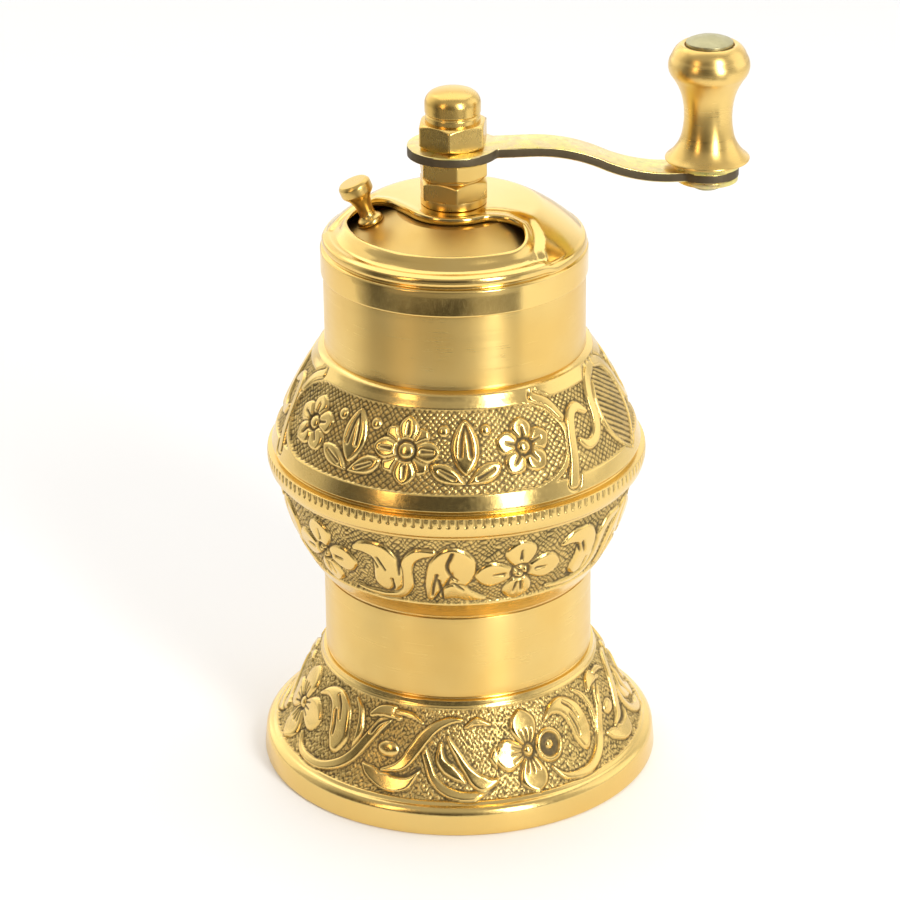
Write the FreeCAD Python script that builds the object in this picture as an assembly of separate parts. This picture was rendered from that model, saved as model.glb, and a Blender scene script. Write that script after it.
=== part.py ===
import FreeCAD, Part
import math
import os

from FreeCAD import Vector

# Pepper mill with a crank: a turned brass body in two halves, a press-fit lid with a turning shutter,
# a steel grinding cone on a vertical shaft, and a crank with a loose brass knob.
# Millimetres, +Z up along the shaft, origin at the centre of the base on the ground, crank along +X.

os.makedirs("parts", exist_ok=True)

# ---- driving dimensions ------------------------------------------------------------------------
BASE_R = 32.5            # radius of the foot's rim
RIM_TOP_Z = 4.8          # top of the smooth rim
CUP_R = 21.8             # lower cylinder of the receiver cup
CUP_BORE_R = 20.37       # cup mouth, a sliding fit round the sleeve
SEAM_Z = 33.475          # where the hopper stands on the cup
FLOOR_R = 30.4
FLOOR_T = 1.5

WAIST_R = 30.5           # bead round the widest part of the hopper
WAIST_Z = 53.6
NECK_R = 20.8
NECK_TOP_Z = 89.0
NECK_BORE_R = 19.2
SKIRT_Z = 84.7           # lower edge of the lid
SKIRT_R = 21.15
SKIRT_BORE_R = 20.2

SLEEVE_R = 20.3
SLEEVE_BORE_R = 19.1
SLEEVE_BOTTOM_Z = 26.0
SLEEVE_TOP_Z = 41.0
FLANGE_Z = 30.5          # underside of the sleeve's inner flange
FLANGE_T = 1.7
FLANGE_BORE_R = 13.2

RING_BOTTOM_Z = 20.5     # fixed burr
RING_HUB_R = 12.8
RING_FLANGE_R = 18.6
RING_FLANGE_T = 2.2
CONE_TOP_R = 8.6         # grinding cone's radius at FLANGE_Z
CONE_SLOPE = 0.16        # widens downwards
GRIND_GAP = 0.35         # radial, at the coarsest setting
TEETH = 24
SCREW_CIRCLE_R = 16.2
SCREW_R = 1.25
SCREW_COUNT = 3

SHAFT_R = 3.0            # M6
SHAFT_FLATS = 4.8
SHAFT_BOTTOM_Z = 14.5
SHAFT_TOP_Z = 112.4
BURR_TOP_Z = 31.5        # shoulder that the grinding cone stops against
BURR_BOTTOM_Z = 20.2
BURR_WASHER_T = 0.8
BURR_NUT_H = 4.0
SPRING_WIRE_R = 0.4
SPRING_LOW_WASHER_T = 0.8
SPRING_TOP_WASHER_T = 0.5
RUNNING = 0.05           # radial clearance of the shaft's guides

BRIDGE_Z = 44.0
BRIDGE_T = 1.5
BRIDGE_W = 9.0
BRIDGE_LEG_X = 17.4
BRIDGE_LEG_Z = 36.5
RIVET_Z = 38.8
RIVET_R = 1.2

LID_TOP_Z = 95.9
LID_T = 1.0
STEM_R = 4.5
HEX_AF = 10.0            # hexagons on the shaft
LOCK_NUT_AF = 13.0
LOCK_NUT_TOP_Z = 93.2
LOCK_NUT_H = 3.2
WAVE_WASHER_T = 0.4

SLOT_IN_R = 7.6          # filling slot in the lid
SLOT_OUT_R = 16.8
SLOT_END_AZ = -64.0      # centre of its blunt end
SLOT_TAIL_AZ = -178.5    # centre of its narrow end
SLOT_TAIL_R = 3.9

SHUTTER_EDGE_R = 17.6
SHUTTER_BEND_R = 9.0
SHUTTER_BEND_Z = 94.4
SHUTTER_EDGE_Z = 90.95
SHUTTER_START_AZ = -200.0
SHUTTER_SWEEP = 170.0
SHUTTER_KNOB_R = 13.0    # from the shaft's axis
SHUTTER_KNOB_AZ = 179.0
SHUTTER_PLATE_T = 0.88
SHUTTER_RIVET_R = 0.9

BUSH_BOTTOM_Z = 88.6
BUSH_COLLAR_R = 5.2
BUSH_COLLAR_TOP_Z = 97.2
BUSH_TOP_Z = 100.1
THRUST_T = 0.3
THRUST_R = 4.8
ARM_T = 1.6
ARM_BOTTOM_Z = 103.7
ARM_DROP = 5.15
ARM_HALF_W = 3.25
ARM_HUB_R = 7.2
ARM_EYE_R = 5.0
JOGGLE_START_X = 12.0
JOGGLE_END_X = 34.5
CRANK_R = 40.0
ACORN_HEX_TOP_Z = 109.2
ACORN_NECK_R = 4.1
ACORN_CORNER_DEG = 19.0    # where the tightened nut came to rest
DOME_R = 4.4
DOME_LOW_Z = 110.4
DOME_EDGE_R = 1.7
DOME_TOP_Z = 114.4

PIN_R = 1.6
KNOB_BOTTOM_Z = 101.1
KNOB_RIM_R = 6.7
KNOB_TOP_Z = 120.0
KNOB_RECESS_Z = 119.3
PIN_HEAD_R = 3.7
PIN_WASHER_T = 0.7
PIN_RIVET_H = 1.5
ARM_END_LOW_Z = ARM_BOTTOM_Z - ARM_DROP
ARM_END_TOP_Z = ARM_END_LOW_Z + ARM_T


# ---- helpers -----------------------------------------------------------------------------------
def save(name, shape):
    shape.exportStep("parts/" + name + ".step")


def turned(*path):
    """Solid of revolution about Z. A point is (r, z); a pair of points is an arc's middle and end."""
    edges = []
    here = Vector(path[0][0], 0, path[0][1])
    first = here
    for step in path[1:] + (path[0],):
        if isinstance(step[0], tuple):
            middle = Vector(step[0][0], 0, step[0][1])
            there = Vector(step[1][0], 0, step[1][1])
            edges.append(Part.Arc(here, middle, there).toShape())
        else:
            there = Vector(step[0], 0, step[1])
            if here.distanceToPoint(there) > 1e-7:
                edges.append(Part.LineSegment(here, there).toShape())
        here = there
    if here.distanceToPoint(first) > 1e-7:
        edges.append(Part.LineSegment(here, first).toShape())
    face = Part.Face(Part.Wire(edges))
    return face.revolve(Vector(0, 0, 0), Vector(0, 0, 1), 360)


def ring(inner_r, outer_r, low_z, high_z):
    outer = Part.makeCylinder(outer_r, high_z - low_z, Vector(0, 0, low_z))
    if inner_r <= 0:
        return outer
    return outer.cut(Part.makeCylinder(inner_r, high_z - low_z, Vector(0, 0, low_z)))


def hexagon(across_flats, low_z, high_z, first_corner_deg=30.0):
    corner_r = across_flats / math.sqrt(3)
    corners = []
    for index in range(7):
        angle = math.radians(first_corner_deg + 60 * index)
        corners.append(Vector(corner_r * math.cos(angle), corner_r * math.sin(angle), low_z))
    return Part.Face(Part.makePolygon(corners)).extrude(Vector(0, 0, high_z - low_z))


def chamfered_hexagon(across_flats, low_z, high_z, bottom=True, top=True, first_corner_deg=30.0):
    """A hexagon whose corners are turned off at 30 degrees, as on a bought nut."""
    flat_r = across_flats / 2
    corner_r = across_flats / math.sqrt(3)
    rise = (corner_r - flat_r) * math.tan(math.radians(30))
    low_r = flat_r if bottom else corner_r + 0.1
    high_r = flat_r if top else corner_r + 0.1
    envelope = turned(
        (0, low_z),
        (low_r, low_z),
        (corner_r + 0.1, low_z + (rise * 1.2 if bottom else 0)),
        (corner_r + 0.1, high_z - (rise * 1.2 if top else 0)),
        (high_r, high_z),
        (0, high_z),
    )
    return hexagon(across_flats, low_z, high_z, first_corner_deg).common(envelope)


def double_d(radius, across_flats, low_z, high_z):
    """A round bar with two flats that face +Y and -Y."""
    bar = Part.makeCylinder(radius, high_z - low_z, Vector(0, 0, low_z))
    slab = Part.makeBox(4 * radius, across_flats, high_z - low_z, Vector(-2 * radius, -across_flats / 2, low_z))
    return bar.common(slab)


def crown(edge_r, edge_z, top_z):
    """Arc step for turned(): a spherical cap that rises from (edge_r, edge_z) to the axis."""
    rise = top_z - edge_z
    sphere_r = (edge_r ** 2 + rise ** 2) / (2 * rise)
    half_angle = math.atan2(edge_r, sphere_r - rise) / 2
    middle = (sphere_r * math.sin(half_angle), top_z - sphere_r * (1 - math.cos(half_angle)))
    return (middle, (0, top_z))


def polar(radius, azimuth_deg, z=0.0):
    angle = math.radians(azimuth_deg)
    return Vector(radius * math.cos(angle), radius * math.sin(angle), z)


def grinding_r(z):
    return CONE_TOP_R + CONE_SLOPE * (FLANGE_Z - z)


# ---- receiver cup ------------------------------------------------------------------------------
def base_shell():
    return turned(
        (FLOOR_R, 0),
        (BASE_R - 0.6, 0),
        ((BASE_R - 0.15, 0.18), (BASE_R, 0.6)),
        (BASE_R - 0.3, 3.4),
        ((BASE_R - 0.6, 4.3), (BASE_R - 1.5, RIM_TOP_Z)),
        (BASE_R - 1.8, 5.0),
        ((28.35, 8.0), (26.6, 11.7)),
        ((24.75, 15.4), (22.5, 18.4)),
        (22.3, 19.0),
        (CUP_R - 0.2, 19.0),
        (CUP_R - 0.2, 19.3),
        (CUP_R + 0.06, 19.4),
        (CUP_R, SEAM_Z),
        (CUP_BORE_R, SEAM_Z),
        (CUP_BORE_R, 18.8),
        ((23.1, 15.0), (25.0, 11.4)),
        ((26.9, 7.5), (29.0, 4.4)),
        (29.4, FLOOR_T),
        (FLOOR_R, FLOOR_T),
    )


def base_floor():
    return ring(0, FLOOR_R, 0, FLOOR_T)


# ---- hopper ------------------------------------------------------------------------------------
def hopper_shell():
    return turned(
        (SLEEVE_R, SEAM_Z),
        (CUP_R - 0.1, SEAM_Z),
        (CUP_R + 0.1, 34.1),
        (CUP_R + 0.6, 34.4),
        ((26.2, 40.8), (28.3, 47.0)),
        (28.9, 49.7),
        (29.3, 51.3),
        (29.9, 51.8),
        ((WAIST_R, WAIST_Z), (30.2, 55.0)),
        (29.2, 55.1),
        (29.2, 55.5),
        (29.7, 55.9),
        ((27.4, 62.3), (22.2, 71.4)),
        (21.9, 71.8),
        (21.5, 72.1),
        (21.5, 72.6),
        (NECK_R, 72.9),
        (NECK_R, SKIRT_Z),
        (SKIRT_BORE_R, SKIRT_Z),
        (SKIRT_BORE_R, NECK_TOP_Z),
        (NECK_BORE_R, NECK_TOP_Z),
        (NECK_BORE_R, 72.8),
        ((25.7, 62.0), (28.0, 56.0)),
        (28.3, 52.5),
        (27.4, 49.6),
        ((24.9, 41.4), (SLEEVE_R, 35.6)),
    )


def screw_places():
    return [polar(SCREW_CIRCLE_R, 30 + 360.0 * index / SCREW_COUNT) for index in range(SCREW_COUNT)]


def rivet_shank(side):
    length = SLEEVE_R - BRIDGE_LEG_X
    return Part.makeCylinder(RIVET_R, length, Vector(side * BRIDGE_LEG_X, 0, RIVET_Z), Vector(side, 0, 0))


def coupling_sleeve():
    sleeve = turned(
        (SLEEVE_R - 0.5, SLEEVE_BOTTOM_Z),
        (SLEEVE_R, SLEEVE_BOTTOM_Z + 0.8),
        (SLEEVE_R, SLEEVE_TOP_Z),
        (SLEEVE_BORE_R, SLEEVE_TOP_Z),
        (SLEEVE_BORE_R, FLANGE_Z + FLANGE_T),
        (FLANGE_BORE_R, FLANGE_Z + FLANGE_T),
        (FLANGE_BORE_R, FLANGE_Z),
        (SLEEVE_BORE_R, FLANGE_Z),
        (SLEEVE_BORE_R, SLEEVE_BOTTOM_Z),
    )
    for place in screw_places():
        sleeve = sleeve.cut(Part.makeCylinder(SCREW_R, FLANGE_T, place + Vector(0, 0, FLANGE_Z)))
    for side in (-1, 1):
        sleeve = sleeve.cut(rivet_shank(side))
    return sleeve


def burr_ring():
    body = turned(
        (grinding_r(RING_BOTTOM_Z), RING_BOTTOM_Z),
        (RING_HUB_R, RING_BOTTOM_Z),
        (RING_HUB_R, FLANGE_Z - RING_FLANGE_T),
        (RING_FLANGE_R, FLANGE_Z - RING_FLANGE_T),
        (RING_FLANGE_R, FLANGE_Z),
        (11.2, FLANGE_Z),
        (grinding_r(28.0), 28.0),
    )
    groove_w = 0.9
    groove_depth = 0.7
    lean = math.degrees(math.atan(CONE_SLOPE))
    grooves = []
    for index in range(TEETH):
        groove = Part.makeBox(4.0, groove_w, 16.0, Vector(-4.0, -groove_w / 2, -8.0))
        groove.rotate(Vector(0, 0, 0), Vector(0, 1, 0), -lean)
        groove.translate(Vector(grinding_r(25.5) + groove_depth, 0, 25.5))
        groove.rotate(Vector(0, 0, 0), Vector(0, 0, 1), 360.0 * index / TEETH)
        grooves.append(groove)
    body = body.cut(grooves)
    for place in screw_places():
        hole = Part.makeCylinder(SCREW_R + 0.15, RING_FLANGE_T, place + Vector(0, 0, FLANGE_Z - RING_FLANGE_T))
        body = body.cut(hole)
    return body


def burr_ring_screws():
    seat_z = FLANGE_Z - RING_FLANGE_T
    screws = []
    for place in screw_places():
        screw = turned(
            (0, seat_z - 1.3),
            (1.6, seat_z - 1.3),
            ((2.0, seat_z - 1.1), (2.2, seat_z - 0.6)),
            (2.2, seat_z),
            (SCREW_R, seat_z),
            (SCREW_R, FLANGE_Z + FLANGE_T),
            (0, FLANGE_Z + FLANGE_T),
        )
        screw = screw.cut(Part.makeBox(5.0, 0.6, 0.6, Vector(-2.5, -0.3, seat_z - 1.3)))
        screw.translate(place)
        screws.append(screw)
    return Part.makeCompound(screws)


def shaft_bridge():
    """A bent strap across the sleeve that guides the shaft above the cone."""
    height = BRIDGE_Z + BRIDGE_T - BRIDGE_LEG_Z
    block = Part.makeBox(50, BRIDGE_W, height, Vector(-25, -BRIDGE_W / 2, BRIDGE_LEG_Z))
    block = block.common(Part.makeCylinder(SLEEVE_BORE_R, 100))
    under = Part.makeBox(
        2 * BRIDGE_LEG_X, BRIDGE_W, BRIDGE_Z - BRIDGE_LEG_Z, Vector(-BRIDGE_LEG_X, -BRIDGE_W / 2, BRIDGE_LEG_Z)
    )
    strap = block.cut(under)
    strap = strap.cut(Part.makeCylinder(SHAFT_R + RUNNING, 10, Vector(0, 0, BRIDGE_Z - 1)))
    for side in (-1, 1):
        strap = strap.cut(rivet_shank(side))
    return strap


def bridge_rivets():
    rivets = []
    for side in (-1, 1):
        inner = Part.makeCylinder(2.2, 0.8, Vector(side * BRIDGE_LEG_X, 0, RIVET_Z), Vector(-side, 0, 0))
        outer = Part.makeCylinder(2.0, 0.7, Vector(side * SLEEVE_R, 0, RIVET_Z), Vector(side, 0, 0))
        rivets.append(rivet_shank(side).fuse([inner, outer]).removeSplitter())
    return Part.makeCompound(rivets)


# ---- lid ---------------------------------------------------------------------------------------
def slot_outline():
    """A kidney round the shaft: blunt at one end, tapering to a rounder tail at the other."""
    mid_r = (SLOT_IN_R + SLOT_OUT_R) / 2
    end_r = (SLOT_OUT_R - SLOT_IN_R) / 2
    tail_centre_r = SLOT_OUT_R - SLOT_TAIL_R
    half_angle = math.degrees(math.acos((SLOT_IN_R + SLOT_TAIL_R) / tail_centre_r))
    leave_az = SLOT_TAIL_AZ + half_angle
    end_centre = polar(mid_r, SLOT_END_AZ)
    tail_centre = polar(tail_centre_r, SLOT_TAIL_AZ)
    tail_touch = tail_centre - polar(SLOT_TAIL_R, leave_az)
    outer_start = polar(SLOT_OUT_R, SLOT_END_AZ)
    outer_end = polar(SLOT_OUT_R, SLOT_TAIL_AZ)
    inner_end = polar(SLOT_IN_R, leave_az)
    inner_start = polar(SLOT_IN_R, SLOT_END_AZ)
    tail_mid = tail_centre + polar(SLOT_TAIL_R, (SLOT_TAIL_AZ + leave_az - 180) / 2)
    return Part.Wire([
        Part.Arc(outer_start, polar(SLOT_OUT_R, (SLOT_END_AZ + SLOT_TAIL_AZ) / 2), outer_end).toShape(),
        Part.Arc(outer_end, tail_mid, tail_touch).toShape(),
        Part.LineSegment(tail_touch, inner_end).toShape(),
        Part.Arc(inner_end, polar(SLOT_IN_R, (SLOT_END_AZ + leave_az) / 2), inner_start).toShape(),
        Part.Arc(inner_start, end_centre + polar(end_r, SLOT_END_AZ + 90), outer_start).toShape(),
    ])


def lid_cap():
    under_z = LID_TOP_Z - LID_T
    lid = turned(
        (SKIRT_R, SKIRT_Z),
        (SKIRT_R, 88.8),
        (20.75, 89.0),
        (20.75, 89.2),
        ((21.1, 89.6), (20.75, 90.1)),
        ((18.3, 92.35), (14.2, 95.2)),
        (STEM_R, LID_TOP_Z),
        (STEM_R, under_z),
        (13.9, 94.2),
        ((17.4, 91.7), (19.6, NECK_TOP_Z)),
        (SKIRT_BORE_R, NECK_TOP_Z),
        (SKIRT_BORE_R, SKIRT_Z),
    )
    slot = Part.Face(slot_outline())
    slot.translate(Vector(0, 0, SKIRT_Z))
    return lid.cut(slot.extrude(Vector(0, 0, 20)))


def guide_bush():
    hexed = chamfered_hexagon(HEX_AF, BUSH_COLLAR_TOP_Z, BUSH_TOP_Z, bottom=False)
    collar = ring(0, BUSH_COLLAR_R, LID_TOP_Z, BUSH_COLLAR_TOP_Z)
    stem = ring(0, STEM_R, BUSH_BOTTOM_Z, LID_TOP_Z)
    bush = hexed.fuse([collar, stem]).removeSplitter()
    return bush.cut(Part.makeCylinder(SHAFT_R + RUNNING, 20, Vector(0, 0, BUSH_BOTTOM_Z)))


def bush_lock_nut():
    nut = chamfered_hexagon(LOCK_NUT_AF, LOCK_NUT_TOP_Z - LOCK_NUT_H, LOCK_NUT_TOP_Z, top=False)
    return nut.cut(Part.makeCylinder(STEM_R, LOCK_NUT_H, Vector(0, 0, LOCK_NUT_TOP_Z - LOCK_NUT_H)))


def shutter_wave_washer():
    return ring(STEM_R + 0.1, 7.0, LOCK_NUT_TOP_Z, LOCK_NUT_TOP_Z + WAVE_WASHER_T)


# ---- shutter -----------------------------------------------------------------------------------
def shutter_slope():
    """Angle, in degrees, at which the shutter's rim falls away."""
    return math.degrees(math.atan((SHUTTER_BEND_Z - SHUTTER_EDGE_Z) / (SHUTTER_EDGE_R - SHUTTER_BEND_R)))


def shutter_knob_placed(shape):
    slope = shutter_slope()
    z = SHUTTER_BEND_Z - (SHUTTER_KNOB_R - SHUTTER_BEND_R) * math.tan(math.radians(slope))
    shape.rotate(Vector(0, 0, 0), Vector(0, 1, 0), slope)
    shape.translate(Vector(SHUTTER_KNOB_R, 0, z))
    shape.rotate(Vector(0, 0, 0), Vector(0, 0, 1), SHUTTER_KNOB_AZ)
    return shape


def shutter_plate():
    disc = turned(
        (STEM_R + 0.06, 94.55),
        (SHUTTER_BEND_R, SHUTTER_BEND_Z),
        (SHUTTER_EDGE_R, SHUTTER_EDGE_Z),
        (SHUTTER_EDGE_R - 0.3, SHUTTER_EDGE_Z - 0.75),
        (SHUTTER_BEND_R - 0.15, SHUTTER_BEND_Z - 0.8),
        (STEM_R + 0.06, 93.75),
    )
    sector = Part.makeCylinder(30, 20, Vector(0, 0, 85), Vector(0, 0, 1), SHUTTER_SWEEP)
    sector.rotate(Vector(0, 0, 0), Vector(0, 0, 1), SHUTTER_START_AZ)
    hub = Part.makeCylinder(7.2, 20, Vector(0, 0, 85))
    plate = disc.common(sector.fuse(hub))
    return plate.cut(shutter_knob_placed(Part.makeCylinder(SHUTTER_RIVET_R, 4, Vector(0, 0, -2))))


def shutter_knob():
    knob = turned(
        (0, -SHUTTER_PLATE_T - 0.5),
        (1.2, -SHUTTER_PLATE_T - 0.5),
        (1.6, -SHUTTER_PLATE_T),
        (SHUTTER_RIVET_R, -SHUTTER_PLATE_T),
        (SHUTTER_RIVET_R, 0.02),
        (2.0, 0.02),
        ((2.1, 0.5), (1.6, 1.1)),
        (1.3, 1.5),
        ((1.35, 3.2), (1.9, 4.7)),
        (2.3, 5.1),
        (2.6, 5.5),
        (2.6, 6.9),
        (2.2, 7.4),
        (0, 7.4),
    )
    return shutter_knob_placed(knob)


# ---- shaft -------------------------------------------------------------------------------------
def drive_shaft():
    shaft = Part.makeCylinder(SHAFT_R, ARM_BOTTOM_Z - BURR_TOP_Z, Vector(0, 0, BURR_TOP_Z))
    lower = double_d(SHAFT_R, SHAFT_FLATS, SHAFT_BOTTOM_Z, BURR_TOP_Z)
    upper = double_d(SHAFT_R, SHAFT_FLATS, ARM_BOTTOM_Z, SHAFT_TOP_Z)
    return shaft.fuse([lower, upper]).removeSplitter()


def inner_burr():
    shoulder_z = 25.5
    cone = turned(
        (0, BURR_BOTTOM_Z),
        (grinding_r(BURR_BOTTOM_Z) - GRIND_GAP, BURR_BOTTOM_Z),
        (grinding_r(shoulder_z) - GRIND_GAP, shoulder_z),
        (5.2, BURR_TOP_Z),
        (0, BURR_TOP_Z),
    )
    lean = math.degrees(math.atan(CONE_SLOPE))
    fine_w = 0.8
    fine_depth = 0.6
    cutters = []
    for index in range(TEETH):
        groove = Part.makeBox(3.0, fine_w, 7.0, Vector(-fine_depth, -fine_w / 2, -3.4))
        groove.rotate(Vector(0, 0, 0), Vector(1, 0, 0), 15)
        groove.rotate(Vector(0, 0, 0), Vector(0, 1, 0), -lean)
        groove.translate(Vector(grinding_r(22.8) - GRIND_GAP, 0, 22.8))
        groove.rotate(Vector(0, 0, 0), Vector(0, 0, 1), 360.0 * index / TEETH)
        cutters.append(groove)
    feed_count = 6
    for index in range(feed_count):
        groove = Part.makeBox(5.0, 2.4, 9.0, Vector(-1.6, -1.2, -4.0))
        groove.rotate(Vector(0, 0, 0), Vector(1, 0, 0), 25)
        groove.rotate(Vector(0, 0, 0), Vector(0, 1, 0), -33)
        groove.translate(Vector(7.0, 0, 28.6))
        groove.rotate(Vector(0, 0, 0), Vector(0, 0, 1), 360.0 * index / feed_count)
        cutters.append(groove)
    cone = cone.cut(cutters)
    return cone.cut(double_d(SHAFT_R, SHAFT_FLATS, BURR_BOTTOM_Z - 1, BURR_TOP_Z + 1))


def burr_nut():
    top_z = BURR_BOTTOM_Z - BURR_WASHER_T
    nut = chamfered_hexagon(HEX_AF, top_z - BURR_NUT_H, top_z)
    return nut.cut(Part.makeCylinder(SHAFT_R, BURR_NUT_H, Vector(0, 0, top_z - BURR_NUT_H)))


def spring():
    mean_r = 4.3
    low_z = BURR_TOP_Z + SPRING_LOW_WASHER_T + SPRING_WIRE_R
    high_z = BRIDGE_Z - SPRING_TOP_WASHER_T - SPRING_WIRE_R
    turns = 5
    helix = Part.makeHelix((high_z - low_z) / turns, high_z - low_z, mean_r)
    section = Part.Wire([Part.makeCircle(SPRING_WIRE_R, Vector(mean_r, 0, 0), Vector(0, 1, 0))])
    coil = Part.Wire(helix).makePipeShell([section], True, True)
    coil.translate(Vector(0, 0, low_z))
    return coil


def adjusting_nut():
    nut = chamfered_hexagon(HEX_AF, BUSH_TOP_Z + THRUST_T, ARM_BOTTOM_Z)
    return nut.cut(Part.makeCylinder(SHAFT_R + RUNNING, 20, Vector(0, 0, 90)))


def acorn_nut():
    low_z = ARM_BOTTOM_Z + ARM_T
    hexed = chamfered_hexagon(HEX_AF, low_z, ACORN_HEX_TOP_Z, first_corner_deg=ACORN_CORNER_DEG)
    round_z = DOME_TOP_Z - 0.25 - DOME_EDGE_R
    flat_r = DOME_R - DOME_EDGE_R
    diagonal = DOME_EDGE_R * math.sqrt(0.5)
    dome = turned(
        (0, low_z),
        (DOME_R, low_z),
        (DOME_R, DOME_LOW_Z - 0.25),
        (ACORN_NECK_R, DOME_LOW_Z),
        (DOME_R, DOME_LOW_Z + 0.25),
        (DOME_R, round_z),
        ((flat_r + diagonal, round_z + diagonal), (flat_r, round_z + DOME_EDGE_R)),
        crown(flat_r, round_z + DOME_EDGE_R, DOME_TOP_Z),
    )
    nut = hexed.fuse(dome).removeSplitter()
    return nut.cut(Part.makeCylinder(SHAFT_R, SHAFT_TOP_Z + 0.4 - low_z, Vector(0, 0, low_z)))


# ---- crank -------------------------------------------------------------------------------------
def arm_side_profile():
    """Side view of the strip: level at the hub, an S-shaped step down, level at the eye."""
    centre_z = ARM_BOTTOM_Z + ARM_T / 2
    half_run = (JOGGLE_END_X - JOGGLE_START_X) / 2
    half_drop = ARM_DROP / 2
    bend_r = (half_run ** 2 + half_drop ** 2) / (2 * half_drop)
    sweep = math.asin(half_run / bend_r)
    first_centre = Vector(JOGGLE_START_X, 0, centre_z - bend_r)
    second_centre = Vector(JOGGLE_END_X, 0, centre_z - ARM_DROP + bend_r)

    def on_first(offset, share):
        angle = sweep * share
        r = bend_r + offset
        return first_centre + Vector(r * math.sin(angle), 0, r * math.cos(angle))

    def on_second(offset, share):
        angle = sweep * (1 - share)
        r = bend_r - offset
        return second_centre + Vector(-r * math.sin(angle), 0, -r * math.cos(angle))

    half_t = ARM_T / 2
    far_x = CRANK_R + ARM_EYE_R + 1
    near = Vector(-ARM_HUB_R - 1, 0, 0)
    top_near = near + Vector(0, 0, centre_z + half_t)
    low_near = near + Vector(0, 0, centre_z - half_t)
    top_far = Vector(far_x, 0, centre_z - ARM_DROP + half_t)
    low_far = Vector(far_x, 0, centre_z - ARM_DROP - half_t)
    return Part.Face(Part.Wire([
        Part.LineSegment(top_near, on_first(half_t, 0)).toShape(),
        Part.Arc(on_first(half_t, 0), on_first(half_t, 0.5), on_first(half_t, 1)).toShape(),
        Part.Arc(on_second(half_t, 0), on_second(half_t, 0.5), on_second(half_t, 1)).toShape(),
        Part.LineSegment(on_second(half_t, 1), top_far).toShape(),
        Part.LineSegment(top_far, low_far).toShape(),
        Part.LineSegment(low_far, on_second(-half_t, 1)).toShape(),
        Part.Arc(on_second(-half_t, 1), on_second(-half_t, 0.5), on_second(-half_t, 0)).toShape(),
        Part.Arc(on_first(-half_t, 1), on_first(-half_t, 0.5), on_first(-half_t, 0)).toShape(),
        Part.LineSegment(on_first(-half_t, 0), low_near).toShape(),
        Part.LineSegment(low_near, top_near).toShape(),
    ]))


def crank_arm():
    profile = arm_side_profile()
    profile.translate(Vector(0, -ARM_HUB_R - 1, 0))
    strip = profile.extrude(Vector(0, 2 * ARM_HUB_R + 2, 0))
    low_z = 90
    height = 30
    hub = Part.makeCylinder(ARM_HUB_R, height, Vector(0, 0, low_z))
    eye = Part.makeCylinder(ARM_EYE_R, height, Vector(CRANK_R, 0, low_z))
    bar = Part.makeBox(CRANK_R, 2 * ARM_HALF_W, height, Vector(0, -ARM_HALF_W, low_z))
    plan = hub.fuse([eye, bar]).removeSplitter()
    arm = strip.common(plan)
    arm = arm.cut(double_d(SHAFT_R, SHAFT_FLATS, low_z, low_z + height))
    return arm.cut(Part.makeCylinder(PIN_R, height, Vector(CRANK_R, 0, low_z)))


def at_crank_end(shape):
    shape.translate(Vector(CRANK_R, 0, 0))
    return shape


def knob_pin():
    rivet_z = ARM_END_LOW_Z - PIN_WASHER_T
    head_z = KNOB_RECESS_Z + 0.1
    return at_crank_end(turned(
        (0, rivet_z - PIN_RIVET_H),
        (1.5, rivet_z - PIN_RIVET_H),
        ((2.4, rivet_z - PIN_RIVET_H + 0.4), (2.6, rivet_z)),
        (PIN_R, rivet_z),
        (PIN_R, head_z),
        (PIN_HEAD_R, head_z),
        (PIN_HEAD_R, KNOB_TOP_Z + 0.4),
        crown(PIN_HEAD_R, KNOB_TOP_Z + 0.4, KNOB_TOP_Z + 1.3),
    ))


def knob_washer():
    return at_crank_end(ring(PIN_R, 5.2, ARM_END_TOP_Z, KNOB_BOTTOM_Z - 0.1))


def rivet_washer():
    return at_crank_end(ring(PIN_R, 4.9, ARM_END_LOW_Z - PIN_WASHER_T, ARM_END_LOW_Z))


def handle_knob():
    return at_crank_end(turned(
        (PIN_R + RUNNING, KNOB_BOTTOM_Z),
        (KNOB_RIM_R - 0.35, KNOB_BOTTOM_Z),
        (KNOB_RIM_R, KNOB_BOTTOM_Z + 0.25),
        (KNOB_RIM_R - 0.15, KNOB_BOTTOM_Z + 0.5),
        ((4.95, 103.3), (4.08, 105.4)),
        ((3.78, 108.0), (4.1, 111.3)),
        ((4.65, 112.9), (5.6, 114.6)),
        ((6.38, 116.6), (5.85, 118.2)),
        ((5.25, 119.3), (4.4, KNOB_TOP_Z)),
        (3.85, KNOB_TOP_Z),
        (3.85, KNOB_RECESS_Z),
        (PIN_R + RUNNING, KNOB_RECESS_Z),
    ))


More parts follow.
